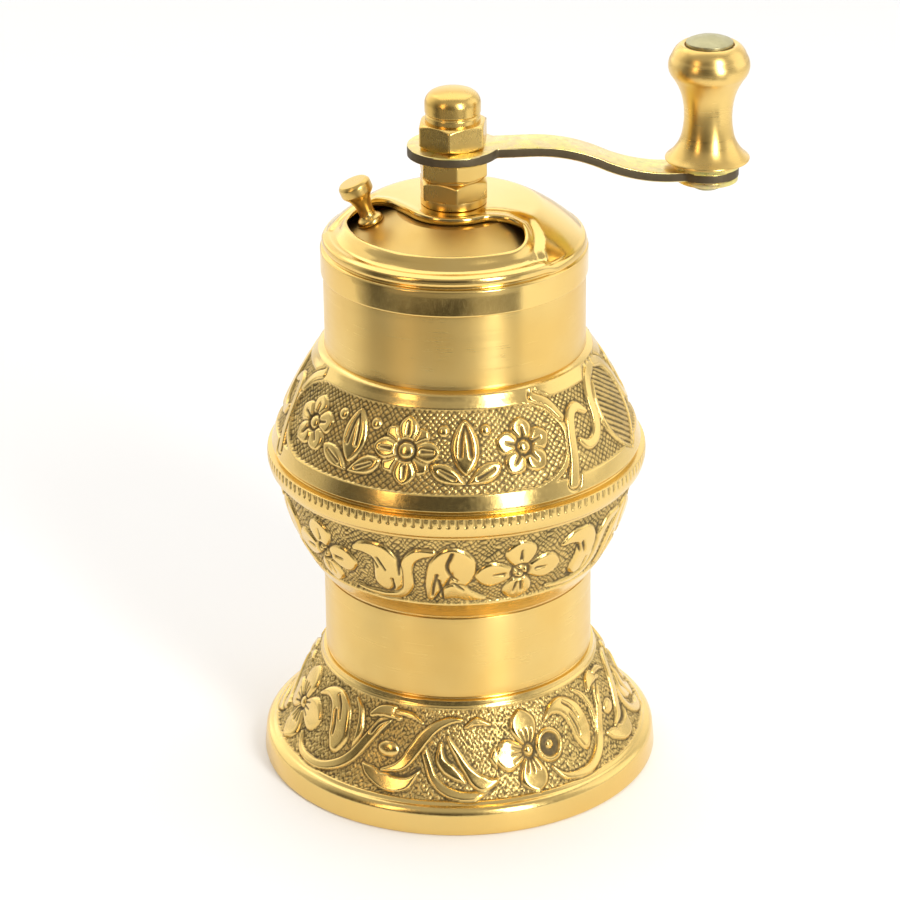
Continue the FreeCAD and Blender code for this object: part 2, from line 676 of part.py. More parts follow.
# ---- write every piece -------------------------------------------------------------------------
PIECES = {
    "base_shell": base_shell,
    "base_floor": base_floor,
    "hopper_shell": hopper_shell,
    "coupling_sleeve": coupling_sleeve,
    "burr_ring": burr_ring,
    "burr_ring_screws": burr_ring_screws,
    "shaft_bridge": shaft_bridge,
    "bridge_rivets": bridge_rivets,
    "spring_top_washer": lambda: ring(SHAFT_R + 0.1, 5.4, BRIDGE_Z - SPRING_TOP_WASHER_T, BRIDGE_Z),
    "lid_cap": lid_cap,
    "guide_bush": guide_bush,
    "bush_lock_nut": bush_lock_nut,
    "shutter_wave_washer": shutter_wave_washer,
    "shutter_plate": shutter_plate,
    "shutter_knob": shutter_knob,
    "thrust_washer": lambda: ring(SHAFT_R + 0.1, THRUST_R, BUSH_TOP_Z, BUSH_TOP_Z + THRUST_T),
    "adjusting_nut": adjusting_nut,
    "drive_shaft": drive_shaft,
    "inner_burr": inner_burr,
    "burr_washer": lambda: ring(SHAFT_R, 6.0, BURR_BOTTOM_Z - BURR_WASHER_T, BURR_BOTTOM_Z),
    "burr_nut": burr_nut,
    "return_spring": spring,
    "spring_bottom_washer": lambda: ring(SHAFT_R, 5.2, BURR_TOP_Z, BURR_TOP_Z + SPRING_LOW_WASHER_T),
    "crank_arm": crank_arm,
    "acorn_nut": acorn_nut,
    "knob_pin": knob_pin,
    "knob_washer": knob_washer,
    "rivet_washer": rivet_washer,
    "handle_knob": handle_knob,
}

for piece_name, make_piece in PIECES.items():
    save(piece_name, make_piece())
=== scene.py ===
import math
from contextlib import contextmanager

import bmesh
import bpy
import numpy as np
from mathutils import Matrix, Vector
from mathutils.geometry import delaunay_2d_cdt

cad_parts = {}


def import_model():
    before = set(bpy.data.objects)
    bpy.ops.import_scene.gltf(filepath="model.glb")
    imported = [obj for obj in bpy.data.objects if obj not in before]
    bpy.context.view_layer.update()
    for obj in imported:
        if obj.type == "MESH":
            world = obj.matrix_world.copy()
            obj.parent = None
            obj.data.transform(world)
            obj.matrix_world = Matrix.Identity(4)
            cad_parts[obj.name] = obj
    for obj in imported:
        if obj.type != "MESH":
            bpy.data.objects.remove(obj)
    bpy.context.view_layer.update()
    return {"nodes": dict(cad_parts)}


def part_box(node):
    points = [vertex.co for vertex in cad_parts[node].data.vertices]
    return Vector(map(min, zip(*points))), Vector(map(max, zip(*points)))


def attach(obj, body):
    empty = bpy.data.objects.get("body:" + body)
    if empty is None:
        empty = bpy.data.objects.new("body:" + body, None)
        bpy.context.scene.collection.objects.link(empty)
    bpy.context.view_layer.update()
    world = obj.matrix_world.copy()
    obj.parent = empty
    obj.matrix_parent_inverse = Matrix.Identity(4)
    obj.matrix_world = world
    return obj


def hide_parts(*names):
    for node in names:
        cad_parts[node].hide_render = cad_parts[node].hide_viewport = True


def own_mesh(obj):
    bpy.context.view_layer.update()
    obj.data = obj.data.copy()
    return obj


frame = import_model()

# Pepper mill. Shapes are worked out in millimetres and written to meshes in metres.
MM = 0.001
MERGE = 1e-6             # metres: points closer than this are one


def node_mm(node):
    """A CAD node's lowest and highest corners, in millimetres."""
    low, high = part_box(node)
    return np.array(low) / MM, np.array(high) / MM


BASE_R = node_mm("base_shell")[1][0]
SEAM_Z = node_mm("base_shell")[1][2]
NECK_TOP_Z = node_mm("hopper_shell")[1][2]
SKIRT_Z = node_mm("lid_cap")[0][2]
SKIRT_R = node_mm("lid_cap")[1][0]
LID_TOP_Z = node_mm("lid_cap")[1][2]
COLUMNS = 1120           # round the ornamented bands
FLUTES = 140
RELIEF = 0.6             # depth of the ornament's ground
GAP = 0.02               # between pieces that lie on each other
BORE_R = 20.4            # inside the cup and the hopper's lower end
COLLAR_R, COLLAR_Z = 21.6, 19.2      # where the cup's foot meets its wall
WAIST_R, WAIST_Z = 29.2, 55.3        # where the hopper's bowl meets its shoulder
WAIST_BORE_R = 28.0
NECK_BORE_R, NECK_Z = 19.2, 72.5     # where the shoulder meets the neck
KNOB_X = 40.0            # the handle's axis
HEX_FLAT_R = 5.0         # every hexagon here is 10 mm across flats


# ---- outlines ----------------------------------------------------------------------------------
def arc_points(start, middle, end, step):
    """The arc through three points, without its first point."""
    a, b, c = (np.array(p, float) for p in (start, middle, end))
    turn = 2 * ((b[0] - a[0]) * (c[1] - a[1]) - (b[1] - a[1]) * (c[0] - a[0]))
    sq = [(p - a) @ (p - a) for p in (b, c)]
    centre = a + np.array([
        (c[1] - a[1]) * sq[0] - (b[1] - a[1]) * sq[1],
        (b[0] - a[0]) * sq[1] - (c[0] - a[0]) * sq[0],
    ]) / turn
    angles = [math.atan2(*(p - centre)[::-1]) for p in (a, b, c)]
    sweep = (angles[2] - angles[0]) % (2 * math.pi)
    if (angles[1] - angles[0]) % (2 * math.pi) > sweep:
        sweep -= 2 * math.pi
    radius = np.linalg.norm(a - centre)
    count = max(2, int(abs(sweep) * radius / step))
    t = angles[0] + sweep * np.linspace(0, 1, count + 1)[1:]
    return centre + radius * np.column_stack([np.cos(t), np.sin(t)])


def trace(path, step=0.04):
    """An outline as points a step apart. A step is a point, or an arc's middle and end."""
    points = [np.array([path[0]], float)]
    for item in path[1:]:
        here = points[-1][-1]
        if isinstance(item[0], tuple):
            points.append(arc_points(here, item[0], item[1], step))
        else:
            there = np.array(item, float)
            count = max(1, int(np.linalg.norm(there - here) / step))
            share = np.linspace(0, 1, count + 1)[1:, None]
            points.append(here + (there - here) * share)
    return np.concatenate(points)


def soften(points, reach, step=0.04):
    """Rounds an outline's corners, as a polishing wheel does. Its ends stay."""
    if reach <= 0:
        return points
    half = max(1, int(reach / step / 2))
    kernel = np.ones(2 * half + 1) / (2 * half + 1)
    soft = points
    for _ in range(2):
        before = 2 * soft[0] - soft[1:half + 1][::-1]
        after = 2 * soft[-1] - soft[-half - 1:-1][::-1]
        padded = np.concatenate([before, soft, after])
        soft = np.column_stack([np.convolve(padded[:, k], kernel, "valid") for k in range(2)])
    return soft


def thin(points, gap, bend_deg=7.0, fine=None):
    """Keeps the points that the shape needs: one a gap, and more where it bends or where fine says so."""
    keep = [0]
    bend = 0.0
    for i in range(1, len(points) - 1):
        before = points[i] - points[i - 1]
        after = points[i + 1] - points[i]
        cross = before[0] * after[1] - before[1] * after[0]
        bend += abs(math.degrees(math.atan2(cross, before @ after)))
        limit = gap
        if fine is not None and fine[0] < points[i][1] < fine[1]:
            limit = fine[2]
        if bend > bend_deg or np.linalg.norm(points[i] - points[keep[-1]]) >= limit:
            keep.append(i)
            bend = 0.0
    return points[keep + [len(points) - 1]]


def outline(path, soft=0.25, gap=1.2, fine=None, bend_deg=7.0):
    """An outline with its corners rounded and its points spaced. fine is (low z, high z, gap)."""
    return thin(soften(trace(path), soft), gap, bend_deg, fine)


# ---- meshes ------------------------------------------------------------------------------------
def mesh_object(name, points, faces, values=None):
    """A smooth mesh from points in mm and an array of faces with the same number of corners."""
    faces = np.asarray(faces)
    corners = points[faces]
    origin = points.mean(0)
    volume = 0.0
    for k in range(1, faces.shape[1] - 1):
        a, b, c = (corners[:, j] - origin for j in (0, k, k + 1))
        volume += np.einsum("ij,ij->i", a, np.cross(b, c)).sum()
    if volume < 0:
        faces = faces[:, ::-1]
    mesh = bpy.data.meshes.new(name)
    mesh.vertices.add(len(points))
    mesh.vertices.foreach_set("co", (points * MM).astype(np.float32).ravel())
    mesh.loops.add(faces.size)
    mesh.loops.foreach_set("vertex_index", faces.astype(np.int32).ravel())
    mesh.polygons.add(len(faces))
    mesh.polygons.foreach_set("loop_start", np.arange(0, faces.size, faces.shape[1], dtype=np.int32))
    mesh.polygons.foreach_set("use_smooth", np.ones(len(faces), bool))
    mesh.update(calc_edges=True)
    if values is not None:
        layer = mesh.attributes.new("polish", "FLOAT", "POINT")
        layer.data.foreach_set("value", values.astype(np.float32).ravel())
    mesh.validate()
    made = bpy.data.objects.new(name, mesh)
    bpy.context.scene.collection.objects.link(made)
    return made


def grid_faces(rows, columns, close_rows):
    """Quads of a grid whose columns close round, and its rows too if close_rows is true."""
    last = rows if close_rows else rows - 1
    r = np.arange(last)[:, None]
    c = np.arange(columns)[None, :]
    r2 = (r + 1) % rows
    c2 = (c + 1) % columns
    quads = np.stack([r * columns + c, r * columns + c2, r2 * columns + c2, r2 * columns + c], axis=-1)
    return quads.reshape(-1, 4)


@contextmanager
def editing(made):
    work = bmesh.new()
    work.from_mesh(made.data)
    yield work
    work.to_mesh(made.data)
    work.free()
    made.data.polygons.foreach_set("use_smooth", np.ones(len(made.data.polygons), bool))


def merge_close(made):
    """Joins the points of a ring that has closed up on the axis."""
    with editing(made) as work:
        bmesh.ops.remove_doubles(work, verts=work.verts, dist=MERGE)
        bmesh.ops.dissolve_degenerate(work, edges=work.edges, dist=MERGE)


def round_axis(r, z, angles):
    """Points at radius r and height z, at every angle round the mill's axis."""
    return np.stack([r * np.cos(angles), r * np.sin(angles), z + 0 * angles], axis=-1)


def lathe(name, rows, columns, place=None, radius_of=None):
    """A turned solid. An outline that starts and ends on the axis is a bar, any other is a ring."""
    solid = rows[0][0] < 1e-6 and rows[-1][0] < 1e-6
    angles = 2 * math.pi * np.arange(columns) / columns
    r, z = rows[:, 0:1], rows[:, 1:2]
    if radius_of is not None:
        r = radius_of(r, angles)
    points = round_axis(r, z, angles).reshape(-1, 3)
    if place is not None:
        points = np.array([place @ Vector(p) for p in points])
    made = mesh_object(name, points, grid_faces(len(rows), columns, not solid))
    if solid:
        merge_close(made)
    return made


def hexagon_r(angles, flat_r, corner_deg, soft):
    """Distance to a hexagon's flats, with slightly rounded corners."""
    total = 0
    for k in range(6):
        off = np.cos(angles - math.radians(corner_deg + 30 + 60 * k))
        total = total + np.exp(-np.where(off > 0.2, flat_r / np.maximum(off, 0.2), 50) / soft)
    return -soft * np.log(total)


def nut(name, low_z, high_z, bore_r, cut_low=True, corner_deg=30.0):
    """A hexagon with its corners turned off at the ends."""
    flat_r = HEX_FLAT_R
    cut, bevel, face_r = 0.06, 0.25, flat_r - 0.35
    near_end = np.array([0.0, 0.04, 0.1, 0.2, 0.32, 0.46, 0.62])
    heights = np.concatenate([
        low_z + near_end, np.linspace(low_z + 0.8, high_z - 0.8, 4), high_z - near_end[::-1],
    ])
    slope = 1 / math.tan(math.radians(30))
    past_corner_r = flat_r / math.cos(math.radians(30)) + 1.0
    envelope = np.minimum(past_corner_r, flat_r - cut + (high_z - heights) * slope)
    if cut_low:
        envelope = np.minimum(envelope, flat_r - cut + (heights - low_z) * slope)
    below = [[bore_r, low_z + bevel], [bore_r + bevel, low_z], [face_r, low_z]]
    above = [[face_r, high_z], [bore_r + bevel, high_z], [bore_r, high_z - bevel]]
    rows = np.concatenate([below, np.column_stack([envelope, heights]), above])
    sides = slice(len(below), len(below) + len(heights))

    def shape(r, angles):
        soft = 0.05
        hexed = hexagon_r(angles, flat_r, corner_deg, soft)[None, :]
        out = np.repeat(r, len(angles), axis=1)
        out[sides] = -soft * np.log(np.exp(-out[sides] / soft) + np.exp(-hexed / soft))
        return out

    return lathe(name, rows, 180, radius_of=shape)


# ---- relief drawing ----------------------------------------------------------------------------
def smooth(t):
    """0 below 0, 1 above 1, and a smooth step between."""
    t = np.clip(t, 0, 1)
    return t * t * (3 - 2 * t)


def bezier(points, count=14):
    """A smooth line through chosen points (Catmull-Rom), as an array of positions."""
    p = np.array(points, float)
    p = np.concatenate([[2 * p[0] - p[1]], p, [2 * p[-1] - p[-2]]])
    out = []
    for i in range(1, len(p) - 2):
        t = np.linspace(0, 1, count, endpoint=False)[:, None]
        out.append(0.5 * (
            2 * p[i] + (p[i + 1] - p[i - 1]) * t
            + (2 * p[i - 1] - 5 * p[i] + 4 * p[i + 1] - p[i + 2]) * t ** 2
            + (3 * p[i] - p[i - 1] - 3 * p[i + 1] + p[i + 2]) * t ** 3
        ))
    return np.concatenate(out + [p[-2:-1]])


class Relief:
    """Ornament on an unrolled band: degrees round the mill, and mm up from the band's lower edge.

    field is the distance inside the border of the sunk ground, and ground the pattern cut in it.
    rise is the height over the ground and polish how far the metal is wiped bright, both 0 to 1.
    """

    def __init__(self, degrees, y, scale, ground, field):
        self.scale = scale                       # mm a degree
        self.x, self.y = degrees * scale, y
        self.rise = np.where(field > 0, ground * 0.34, 0)
        self.polish = np.where(field > 0, ground * 0.7, 0)
        self.rise = np.maximum(self.rise, 1 - smooth(field / 0.3))
        self.polish = np.maximum(self.polish, 1 - smooth(field / 0.12))

    def lift(self, d, edge=0.42, high=1.0):
        """Raises what lies within d < 0, with a rounded edge, and leaves a dark line round it."""
        moat = np.exp(-np.clip(d, 0, None) ** 2 / 0.05) * (d > 0)
        self.polish = self.polish * (1 - 0.9 * moat)
        self.rise = self.rise * (1 - 0.7 * moat)
        t = np.clip(-d / edge, 0, 1)
        body = high * np.sqrt(1 - (1 - t) ** 2)
        self.rise = np.where(d < 0, np.maximum(body, 0.1), self.rise)
        self.polish = np.where(d < 0, smooth((-d) / 0.12), self.polish)

    def cut(self, d, depth=0.6, width=0.2):
        """Engraves a line where d, the distance to it, is small."""
        mark = np.exp(-(np.clip(d, 0, None) / width) ** 2)
        self.rise = self.rise * (1 - depth * mark)
        self.polish = self.polish * (1 - 0.97 * mark)

    def ellipse(self, centre, a, b):
        k = np.hypot((self.x - centre[0] * self.scale) / a, (self.y - centre[1]) / b)
        return (k - 1) * min(a, b)

    def egg(self, start, length, width, turn, fat=0.62):
        """A petal from start towards turn, widest at the share fat of its length."""
        c, s = math.cos(math.radians(turn)), math.sin(math.radians(turn))
        dx, dy = self.x - start[0] * self.scale, self.y - start[1]
        u = (dx * c + dy * s) / length
        w = dy * c - dx * s
        skew = math.log(0.5) / math.log(fat)
        half = 0.5 * width * np.sin(math.pi * np.clip(u, 0, 1) ** skew) ** 0.66
        past = np.maximum(-u, u - 1) * length
        return np.where(past > 0, np.hypot(past, np.abs(w)), np.abs(w) - half)

    def stroke(self, points, widths, count=12):
        """Distance to a line whose half-width changes along it."""
        line = bezier([(a * self.scale, v) for a, v in points], count)
        share = np.linspace(0, 1, len(line))
        half = np.interp(share, np.linspace(0, 1, len(widths)), widths)
        best = np.full(self.x.shape, 99.0)
        for i in range(len(line) - 1):
            a, b = line[i], line[i + 1]
            ab = b - a
            t = ((self.x - a[0]) * ab[0] + (self.y - a[1]) * ab[1]) / max(ab @ ab, 1e-9)
            t = np.clip(t, 0, 1)
            near = np.hypot(self.x - a[0] - t * ab[0], self.y - a[1] - t * ab[1])
            best = np.minimum(best, near - half[i] - t * (half[i + 1] - half[i]))
        return best

    def leaf(self, points, widths, edge=0.42):
        self.lift(self.stroke(points, widths), edge)

    def groove(self, points, width=0.08, depth=0.6):
        self.cut(self.stroke(points, [width, width, 0.0], 8), depth)

    def ray(self, start, turn, near, far, width=0.05, depth=0.45):
        """A groove that points away from a flower's centre."""
        way = math.radians(turn)
        dx, dy = math.cos(way) / self.scale, math.sin(way)
        points = [(start[0] + d * dx, start[1] + d * dy) for d in (near, far)]
        self.cut(self.stroke(points, [width, 0.0], 2), depth)

    def boss(self, centre, r):
        self.cut(self.ellipse(centre, r + 0.3, r + 0.3), depth=0.85, width=0.2)
        self.lift(self.ellipse(centre, r, r), edge=r * 0.9)


def ripple(angle, y, seed, strength):
    """A slow waver that closes round the axis, as a hand-cut ground has."""
    rng = np.random.default_rng(seed)
    total = np.zeros(angle.shape)
    for _ in range(7):
        turns = rng.integers(9, 90)
        lean = rng.uniform(-1.6, 1.6)
        total = total + np.sin(angle * turns + lean * y + rng.uniform(0, 6.3))
    return strength * total / 2.6


def hatched(angle, y, radius, pitch, seed, waver=0.1, lean=1.0):
    """Crossed cuts that leave small diamonds: 0 in a cut and 1 on a diamond."""
    count = round(2 * math.pi * radius / pitch)
    across = angle * count / (2 * math.pi) + ripple(angle, y, seed, waver)
    up = y / pitch * lean + ripple(angle, y, seed + 1, waver)
    first = np.abs(np.sin(math.pi * (across + up)))
    second = np.abs(np.sin(math.pi * (across - up)))
    uneven = 1 + ripple(angle, y * 3, seed + 2, 0.2)
    return np.clip((np.minimum(first, second) * 1.6 - 0.12) * uneven, 0, 1)


def pebbled(angle, y, radius, pitch, seed):
    """A punched ground of uneven beads: the crossed cuts, bent out of line."""
    rng = np.random.default_rng(seed)
    bend = np.zeros(angle.shape)
    drift = np.zeros(angle.shape)
    for _ in range(9):
        turns = rng.integers(60, 220)
        rise = rng.uniform(-3.2, 3.2)
        bend = bend + np.sin(angle * turns + rise * y + rng.uniform(0, 6.3))
        drift = drift + np.cos(angle * turns - rise * y + rng.uniform(0, 6.3))
    count = round(2 * math.pi * radius / pitch)
    across = angle * count / (2 * math.pi) + 0.085 * bend
    up = y / pitch + 0.085 * drift
    beads = np.minimum(np.abs(np.sin(math.pi * (across + up * 0.8))), np.abs(np.sin(math.pi * (across - up))))
    return np.clip(beads * 1.9 - 0.12, 0, 1)


# ---- ornament of the three bands ---------------------------------------------------------------
def foot_units(azimuth):
    """Degrees past the nearest flower to the left, and that flower's number. The front gap is wider."""
    flowers = np.array([-170.0, -70.5, 16.5, 103.0, 190.0])
    before = 12.0            # a unit starts this far to the left of its flower
    wrapped = (azimuth - flowers[0] + before) % 360 + flowers[0] - before
    unit = np.clip(np.searchsorted(flowers - before, wrapped, side="right") - 1, 0, 3)
    width = np.diff(flowers)[unit]
    return (wrapped - flowers[unit]) * (flowers[1] - flowers[0]) / width, unit


def foot_relief(angle, y, height):
    """Four-petalled flowers with leaves and three-stranded branches between them, on a punched ground."""
    degrees, unit = foot_units(np.degrees(angle))
    field = np.minimum(y - 0.3, height - 0.5 - y)
    r = Relief(degrees, y, 0.485, pebbled(angle, y, 27.8, 0.95, 11), field)

    # comma leaf with a tail to the flower, and the narrow leaf behind it
    r.leaf([(10, 11.3), (15, 12.6), (21, 12.4), (25.5, 10.4), (27, 7.4), (27, 5.4)],
           [0.3, 0.9, 1.7, 2.5, 2.4, 1.4], 0.9)
    r.groove([(21.5, 12.9), (24.5, 11.6), (26.4, 9.6)])
    r.groove([(23.0, 10.6), (24.6, 8.4), (24.8, 6.8)])
    r.leaf([(30.5, 14.0), (34.4, 12.4), (36.2, 9.8), (35.6, 7.0), (34.6, 5.9)], [0.3, 0.6, 0.75, 0.6, 0.2])
    # stem under it, rising to a capped knob
    r.leaf([(8.5, 3.7), (12, 1.9), (17, 1.2), (24, 1.3), (30, 2.5), (35, 4.5), (39.5, 7.6), (43.5, 10.6),
            (46.5, 12.6)], [0.3, 0.6, 0.7, 0.8, 0.9, 1.0, 1.0, 1.0, 1.1])
    r.leaf([(39.5, 12.4), (43, 13.4), (48, 13.7), (51.5, 12.9)], [0.5, 1.0, 1.15, 0.5])
    r.leaf([(50, 13.9), (56, 13.7), (61, 12.6)], [0.5, 0.55, 0.2])
    r.groove([(41.5, 9.6), (44, 11.4), (48, 12.4)])
    r.lift(r.ellipse((49, 7.6), 2.0, 1.3), edge=1.0)
    # branch in three strands
    r.leaf([(61.5, 9.4), (63.8, 6.4), (66.5, 3.6), (72, 1.7), (79, 1.2), (85, 2.4)],
           [0.6, 0.7, 0.8, 0.9, 0.8, 0.3])
    r.leaf([(40.5, 4.4), (44, 3.5), (50, 2.5), (56, 2.6), (60.5, 4.9)], [0.2, 1.0, 1.4, 1.25, 0.5])
    r.leaf([(48, 4.2), (54.5, 5.4), (58.5, 7.9), (62, 10.4), (66, 12.2), (71, 13.3), (76, 13.4)],
           [0.3, 0.95, 1.15, 1.15, 0.9, 0.7, 0.3])
    r.groove([(61, 5.2), (57, 3.9), (52, 3.7)], 0.12, 0.8)
    # open leaf that curls up to the next flower
    r.leaf([(70.5, 10.6), (73.5, 8.3), (77.5, 5.3), (82, 3.2), (87.5, 3.4)], [0.35, 0.7, 0.9, 1.4, 0.4], 0.7)
    r.leaf([(68.2, 9.4), (68.2, 7.0), (70.8, 5.6), (74, 4.4), (76.5, 3.4)], [0.5, 0.9, 1.2, 0.9, 0.3], 0.8)
    r.groove([(69.4, 8.8), (70.2, 7.4), (72, 6.4)])
    r.leaf([(77.0, 12.2), (81.5, 13.1), (86.5, 12.4)], [0.3, 0.8, 0.3])

    # flower; one in two has a ring bud in place of its right petal
    heart = (0, 7.2)
    ringed = unit % 2 == 1
    r.lift(r.egg((99.5, 7.2), 7.0, 5.4, 182), edge=1.0)      # the next flower's left petal
    for turn, length, width in ((93, 7.0, 6.0), (182, 7.0, 5.4), (272, 6.7, 5.6)):
        r.lift(r.egg(heart, length, width, turn), edge=1.0)
    r.lift(np.where(ringed, 9.0, r.egg(heart, 8.0, 5.8, 2)), edge=1.0)
    for turn in (93, 182, 272, 2):
        for lean in (-20, 0, 20):
            r.ray(heart, turn + lean, 1.5, 3.4)
    bud = (9.6, 7.3)
    r.lift(np.where(ringed, r.ellipse(bud, 3.1, 2.9), 9.0), edge=0.6)
    r.cut(np.where(ringed, r.ellipse(bud, 1.9, 1.8), 9.0), depth=0.85, width=0.25)
    r.lift(np.where(ringed, r.ellipse(bud, 0.9, 0.7), 9.0), edge=0.6, high=0.7)
    r.boss(heart, 1.0)
    return r


def bowl_relief(angle, y, height):
    """Five flowers with a comma leaf and a shell-shaped leaf after each, on a hatched ground."""
    gap, first_az, before = 72.0, -74.0, 11.0
    degrees = (np.degrees(angle) - first_az + before) % gap - before
    field = np.minimum(y - 4.1, height - y)
    r = Relief(degrees, y, 0.471, hatched(angle, y, 26.8, 0.95, 23, 0.3), field)
    # stem under the first leaf, rising to a fork
    r.leaf([(12.5, 5.5), (18, 5.1), (24, 5.0), (30, 5.8), (33.2, 8.2), (33.4, 11), (34.8, 13.6), (38, 15.2),
            (43, 15.6)], [0.3, 0.6, 0.7, 0.9, 1.1, 1.1, 1.0, 1.0, 0.6])
    # comma leaf with its curl
    r.leaf([(15.5, 14.3), (20, 15.0), (25, 14.4), (27, 11.8), (26.3, 8.6)], [0.5, 1.3, 1.9, 2.4, 2.5], 0.8)
    r.groove([(21.2, 6.9), (24.5, 6.0), (27.8, 7.0), (28.3, 9.4)], 0.12, 0.8)
    r.groove([(24, 13.4), (26.2, 11.2)])
    r.groove([(22.2, 13.0), (23.6, 11.6)])
    r.groove([(31.4, 15.4), (31.3, 12.6), (31.0, 10.6)], 0.12)
    # second leaf, curled like a shell, with two prongs below and a tail to the next flower
    r.leaf([(41, 5.6), (43, 9), (45.5, 12.5), (49, 14.6), (52.6, 13.4), (52.6, 10.8), (50.5, 9)],
           [0.7, 1.6, 2.1, 2.1, 2.0, 1.7, 1.3], 0.7)
    r.leaf([(46, 6.2), (50, 7.4), (54.5, 6.2), (61, 5.2)], [0.9, 1.8, 1.3, 0.3], 0.7)
    r.groove([(49.2, 15.6), (47.5, 13.2), (48.5, 11.2), (50.6, 10.1)], 0.12, 0.8)
    r.groove([(49.4, 9.4), (52.8, 7.8)], 0.1)
    r.groove([(44.0, 11.2), (42.6, 8.6), (41.9, 6.4)], 0.1)
    r.groove([(44.4, 10.0), (45.2, 7.4), (45.6, 5.2)], 0.12, 0.8)
    # four-petalled flower with a ring round its heart and a slit in each petal
    heart = (0, 10.9)
    r.lift(r.egg((gap, 10.9), 7.3, 5.2, 181, 0.63), edge=0.8)      # the next flower's left petal
    for turn, length in ((1, 7.1), (91, 6.2), (181, 7.3), (271, 6.5)):
        r.lift(r.egg(heart, length, 5.2, turn, 0.63), edge=0.8)
    for turn in (1, 91, 181):
        r.ray(heart, turn, 2.7, 4.3, 0.14, 0.6)
    for lean in (-9, 9):
        r.ray(heart, 271 + lean, 2.4, 4.4, 0.1, 0.6)
    r.cut(np.abs(r.ellipse(heart, 1.45, 1.45)) - 0.14, depth=0.85, width=0.2)
    r.cut(r.ellipse(heart, 0.35, 0.35), depth=0.6, width=0.16)
    return r


def shoulder_relief(angle, y, height):
    """Two round-ended panels of flowers and buds, with ribbons and a hatched leaf between them."""
    scale = 0.462
    panel_az = -112.5
    degrees = (np.degrees(angle) - panel_az + 90.0) % 180.0 - 90.0      # from the panel's middle
    x = degrees * scale
    low, high = 2.6, 15.9
    mid, tall = (low + high) / 2, (high - low) / 2
    panel_half, end_r = 26.6, tall * 1.2
    arch = 1 - np.hypot(np.clip(np.abs(x) - (panel_half - end_r), 0, None) / end_r, (y - mid) / tall)
    panel = np.minimum(np.minimum(y - low, high - y), arch * tall)
    frame_w = 0.7
    field = np.maximum(panel, np.minimum(np.minimum(y - low, high - y), -(panel + frame_w)))
    r = Relief(np.abs(degrees), y, scale, hatched(angle, y, 26.8, 1.08, 37, 0.12), field)

    # rosette of eight petals in the middle
    heart = (0, mid)
    for turn in (-45, 45):
        r.lift(r.egg(heart, 4.7, 3.2, turn, 0.66), edge=0.8)
    for turn in (-90, 0, 90):
        r.lift(r.egg(heart, 5.5, 3.5, turn, 0.64), edge=0.8)
        r.ray(heart, turn, 2.6, 4.3, 0.12, 0.6)
    r.boss(heart, 1.35)
    # upright bud between two leaves, on both sides of it
    foot = (20.5, mid - 5.0)
    for turn in (28, 152):
        r.lift(r.egg(foot, 6.2, 3.0, turn, 0.6), edge=0.8)
        r.ray(foot, turn, 2.0, 4.6, 0.1)
    r.lift(r.egg((20.5, mid - 3.6), 8.8, 4.6, 90, 0.5), edge=1.0)
    r.groove([(18.6, mid - 0.6), (19.2, mid + 2.2), (20.4, mid + 4.2)], 0.1)
    r.groove([(22.4, mid - 0.6), (21.8, mid + 2.2), (20.6, mid + 4.2)], 0.1)
    for side in (-1, 1):
        r.lift(r.ellipse((20.5 + side * 7.6, mid + 3.4), 1.0, 1.0), edge=0.9)
    # five-petalled flower at each end
    heart = (41.0, mid)
    for turn in (18, 90, 162, 234, 306):
        r.lift(r.egg(heart, 4.7, 3.9, turn, 0.63), edge=0.9)
        r.ray(heart, turn, 1.7, 3.0, 0.08)
    r.boss(heart, 1.1)

    # ribbons that hook into each other, and the leaf
    r.leaf([(49, high + 0.6), (54.5, high - 0.9), (58.5, mid + 3.0)], [0.9, 0.9, 0.7])
    r.leaf([(56.3, low - 1.0), (58.5, 5.0), (60.3, 9.0), (63, 12.0), (67, 12.8), (70.5, 11.6)],
           [0.95, 0.95, 0.95, 1.0, 0.95, 0.6])
    leaf = r.egg((90, high + 1.6), high - low + 2.6, 12.0, 270, 0.5)
    r.lift(leaf, edge=0.4)
    ribs = 0.5 + 0.5 * np.cos(2 * math.pi * (y + 0.7 * x) / 1.1)
    inner = leaf + 0.9 < 0
    r.rise = np.where(inner, 0.25 + 0.55 * ribs, r.rise)
    r.polish = np.where(inner, 0.12 + 0.8 * ribs ** 1.5, r.polish)
    r.leaf([(88, high + 1.0), (81, high - 0.3), (76.5, 13.0), (74.7, 9.6), (71.5, 7.2), (67, 6.5),
            (63.5, 7.7)], [1.1, 1.05, 1.0, 1.0, 1.0, 0.95, 0.5])
    return r


def ornamented(name, outer, inner, low_z, high_z, draw, extra=None):
    """A thick ring whose outside carries a relief between two heights. extra changes what draw leaves."""
    step = np.linalg.norm(np.diff(outer, axis=0), axis=1)
    along = np.concatenate([[0], np.cumsum(step)])
    start = np.interp(low_z, outer[:, 1], along)
    end = np.interp(high_z, outer[:, 1], along)
    tangent = np.gradient(outer, axis=0)
    tangent /= np.linalg.norm(tangent, axis=1)[:, None]
    normal = np.column_stack([tangent[:, 1], -tangent[:, 0]])
    angles = 2 * math.pi * np.arange(COLUMNS) / COLUMNS - math.pi
    grid_angle, grid_y = np.meshgrid(angles, along - start)
    drawn = draw(grid_angle, grid_y, end - start)
    outside = (grid_y < 0) | (grid_y > end - start)
    rise = np.where(outside, 1, drawn.rise)
    polish = np.where(outside, 1, drawn.polish)
    if extra is not None:
        rise, polish = extra(grid_angle, outer[:, 1:2] + 0 * grid_angle, rise, polish)
    sink = (rise - 1) * RELIEF
    r = outer[:, 0:1] + sink * normal[:, 0:1]
    z = outer[:, 1:2] + sink * normal[:, 1:2]
    points = np.concatenate([round_axis(r, z, angles), round_axis(inner[:, 0:1], inner[:, 1:2], angles)])
    values = np.concatenate([polish, np.full((len(inner), COLUMNS), 0.55)])
    return mesh_object(name, points.reshape(-1, 3), grid_faces(len(points), COLUMNS, True), values)


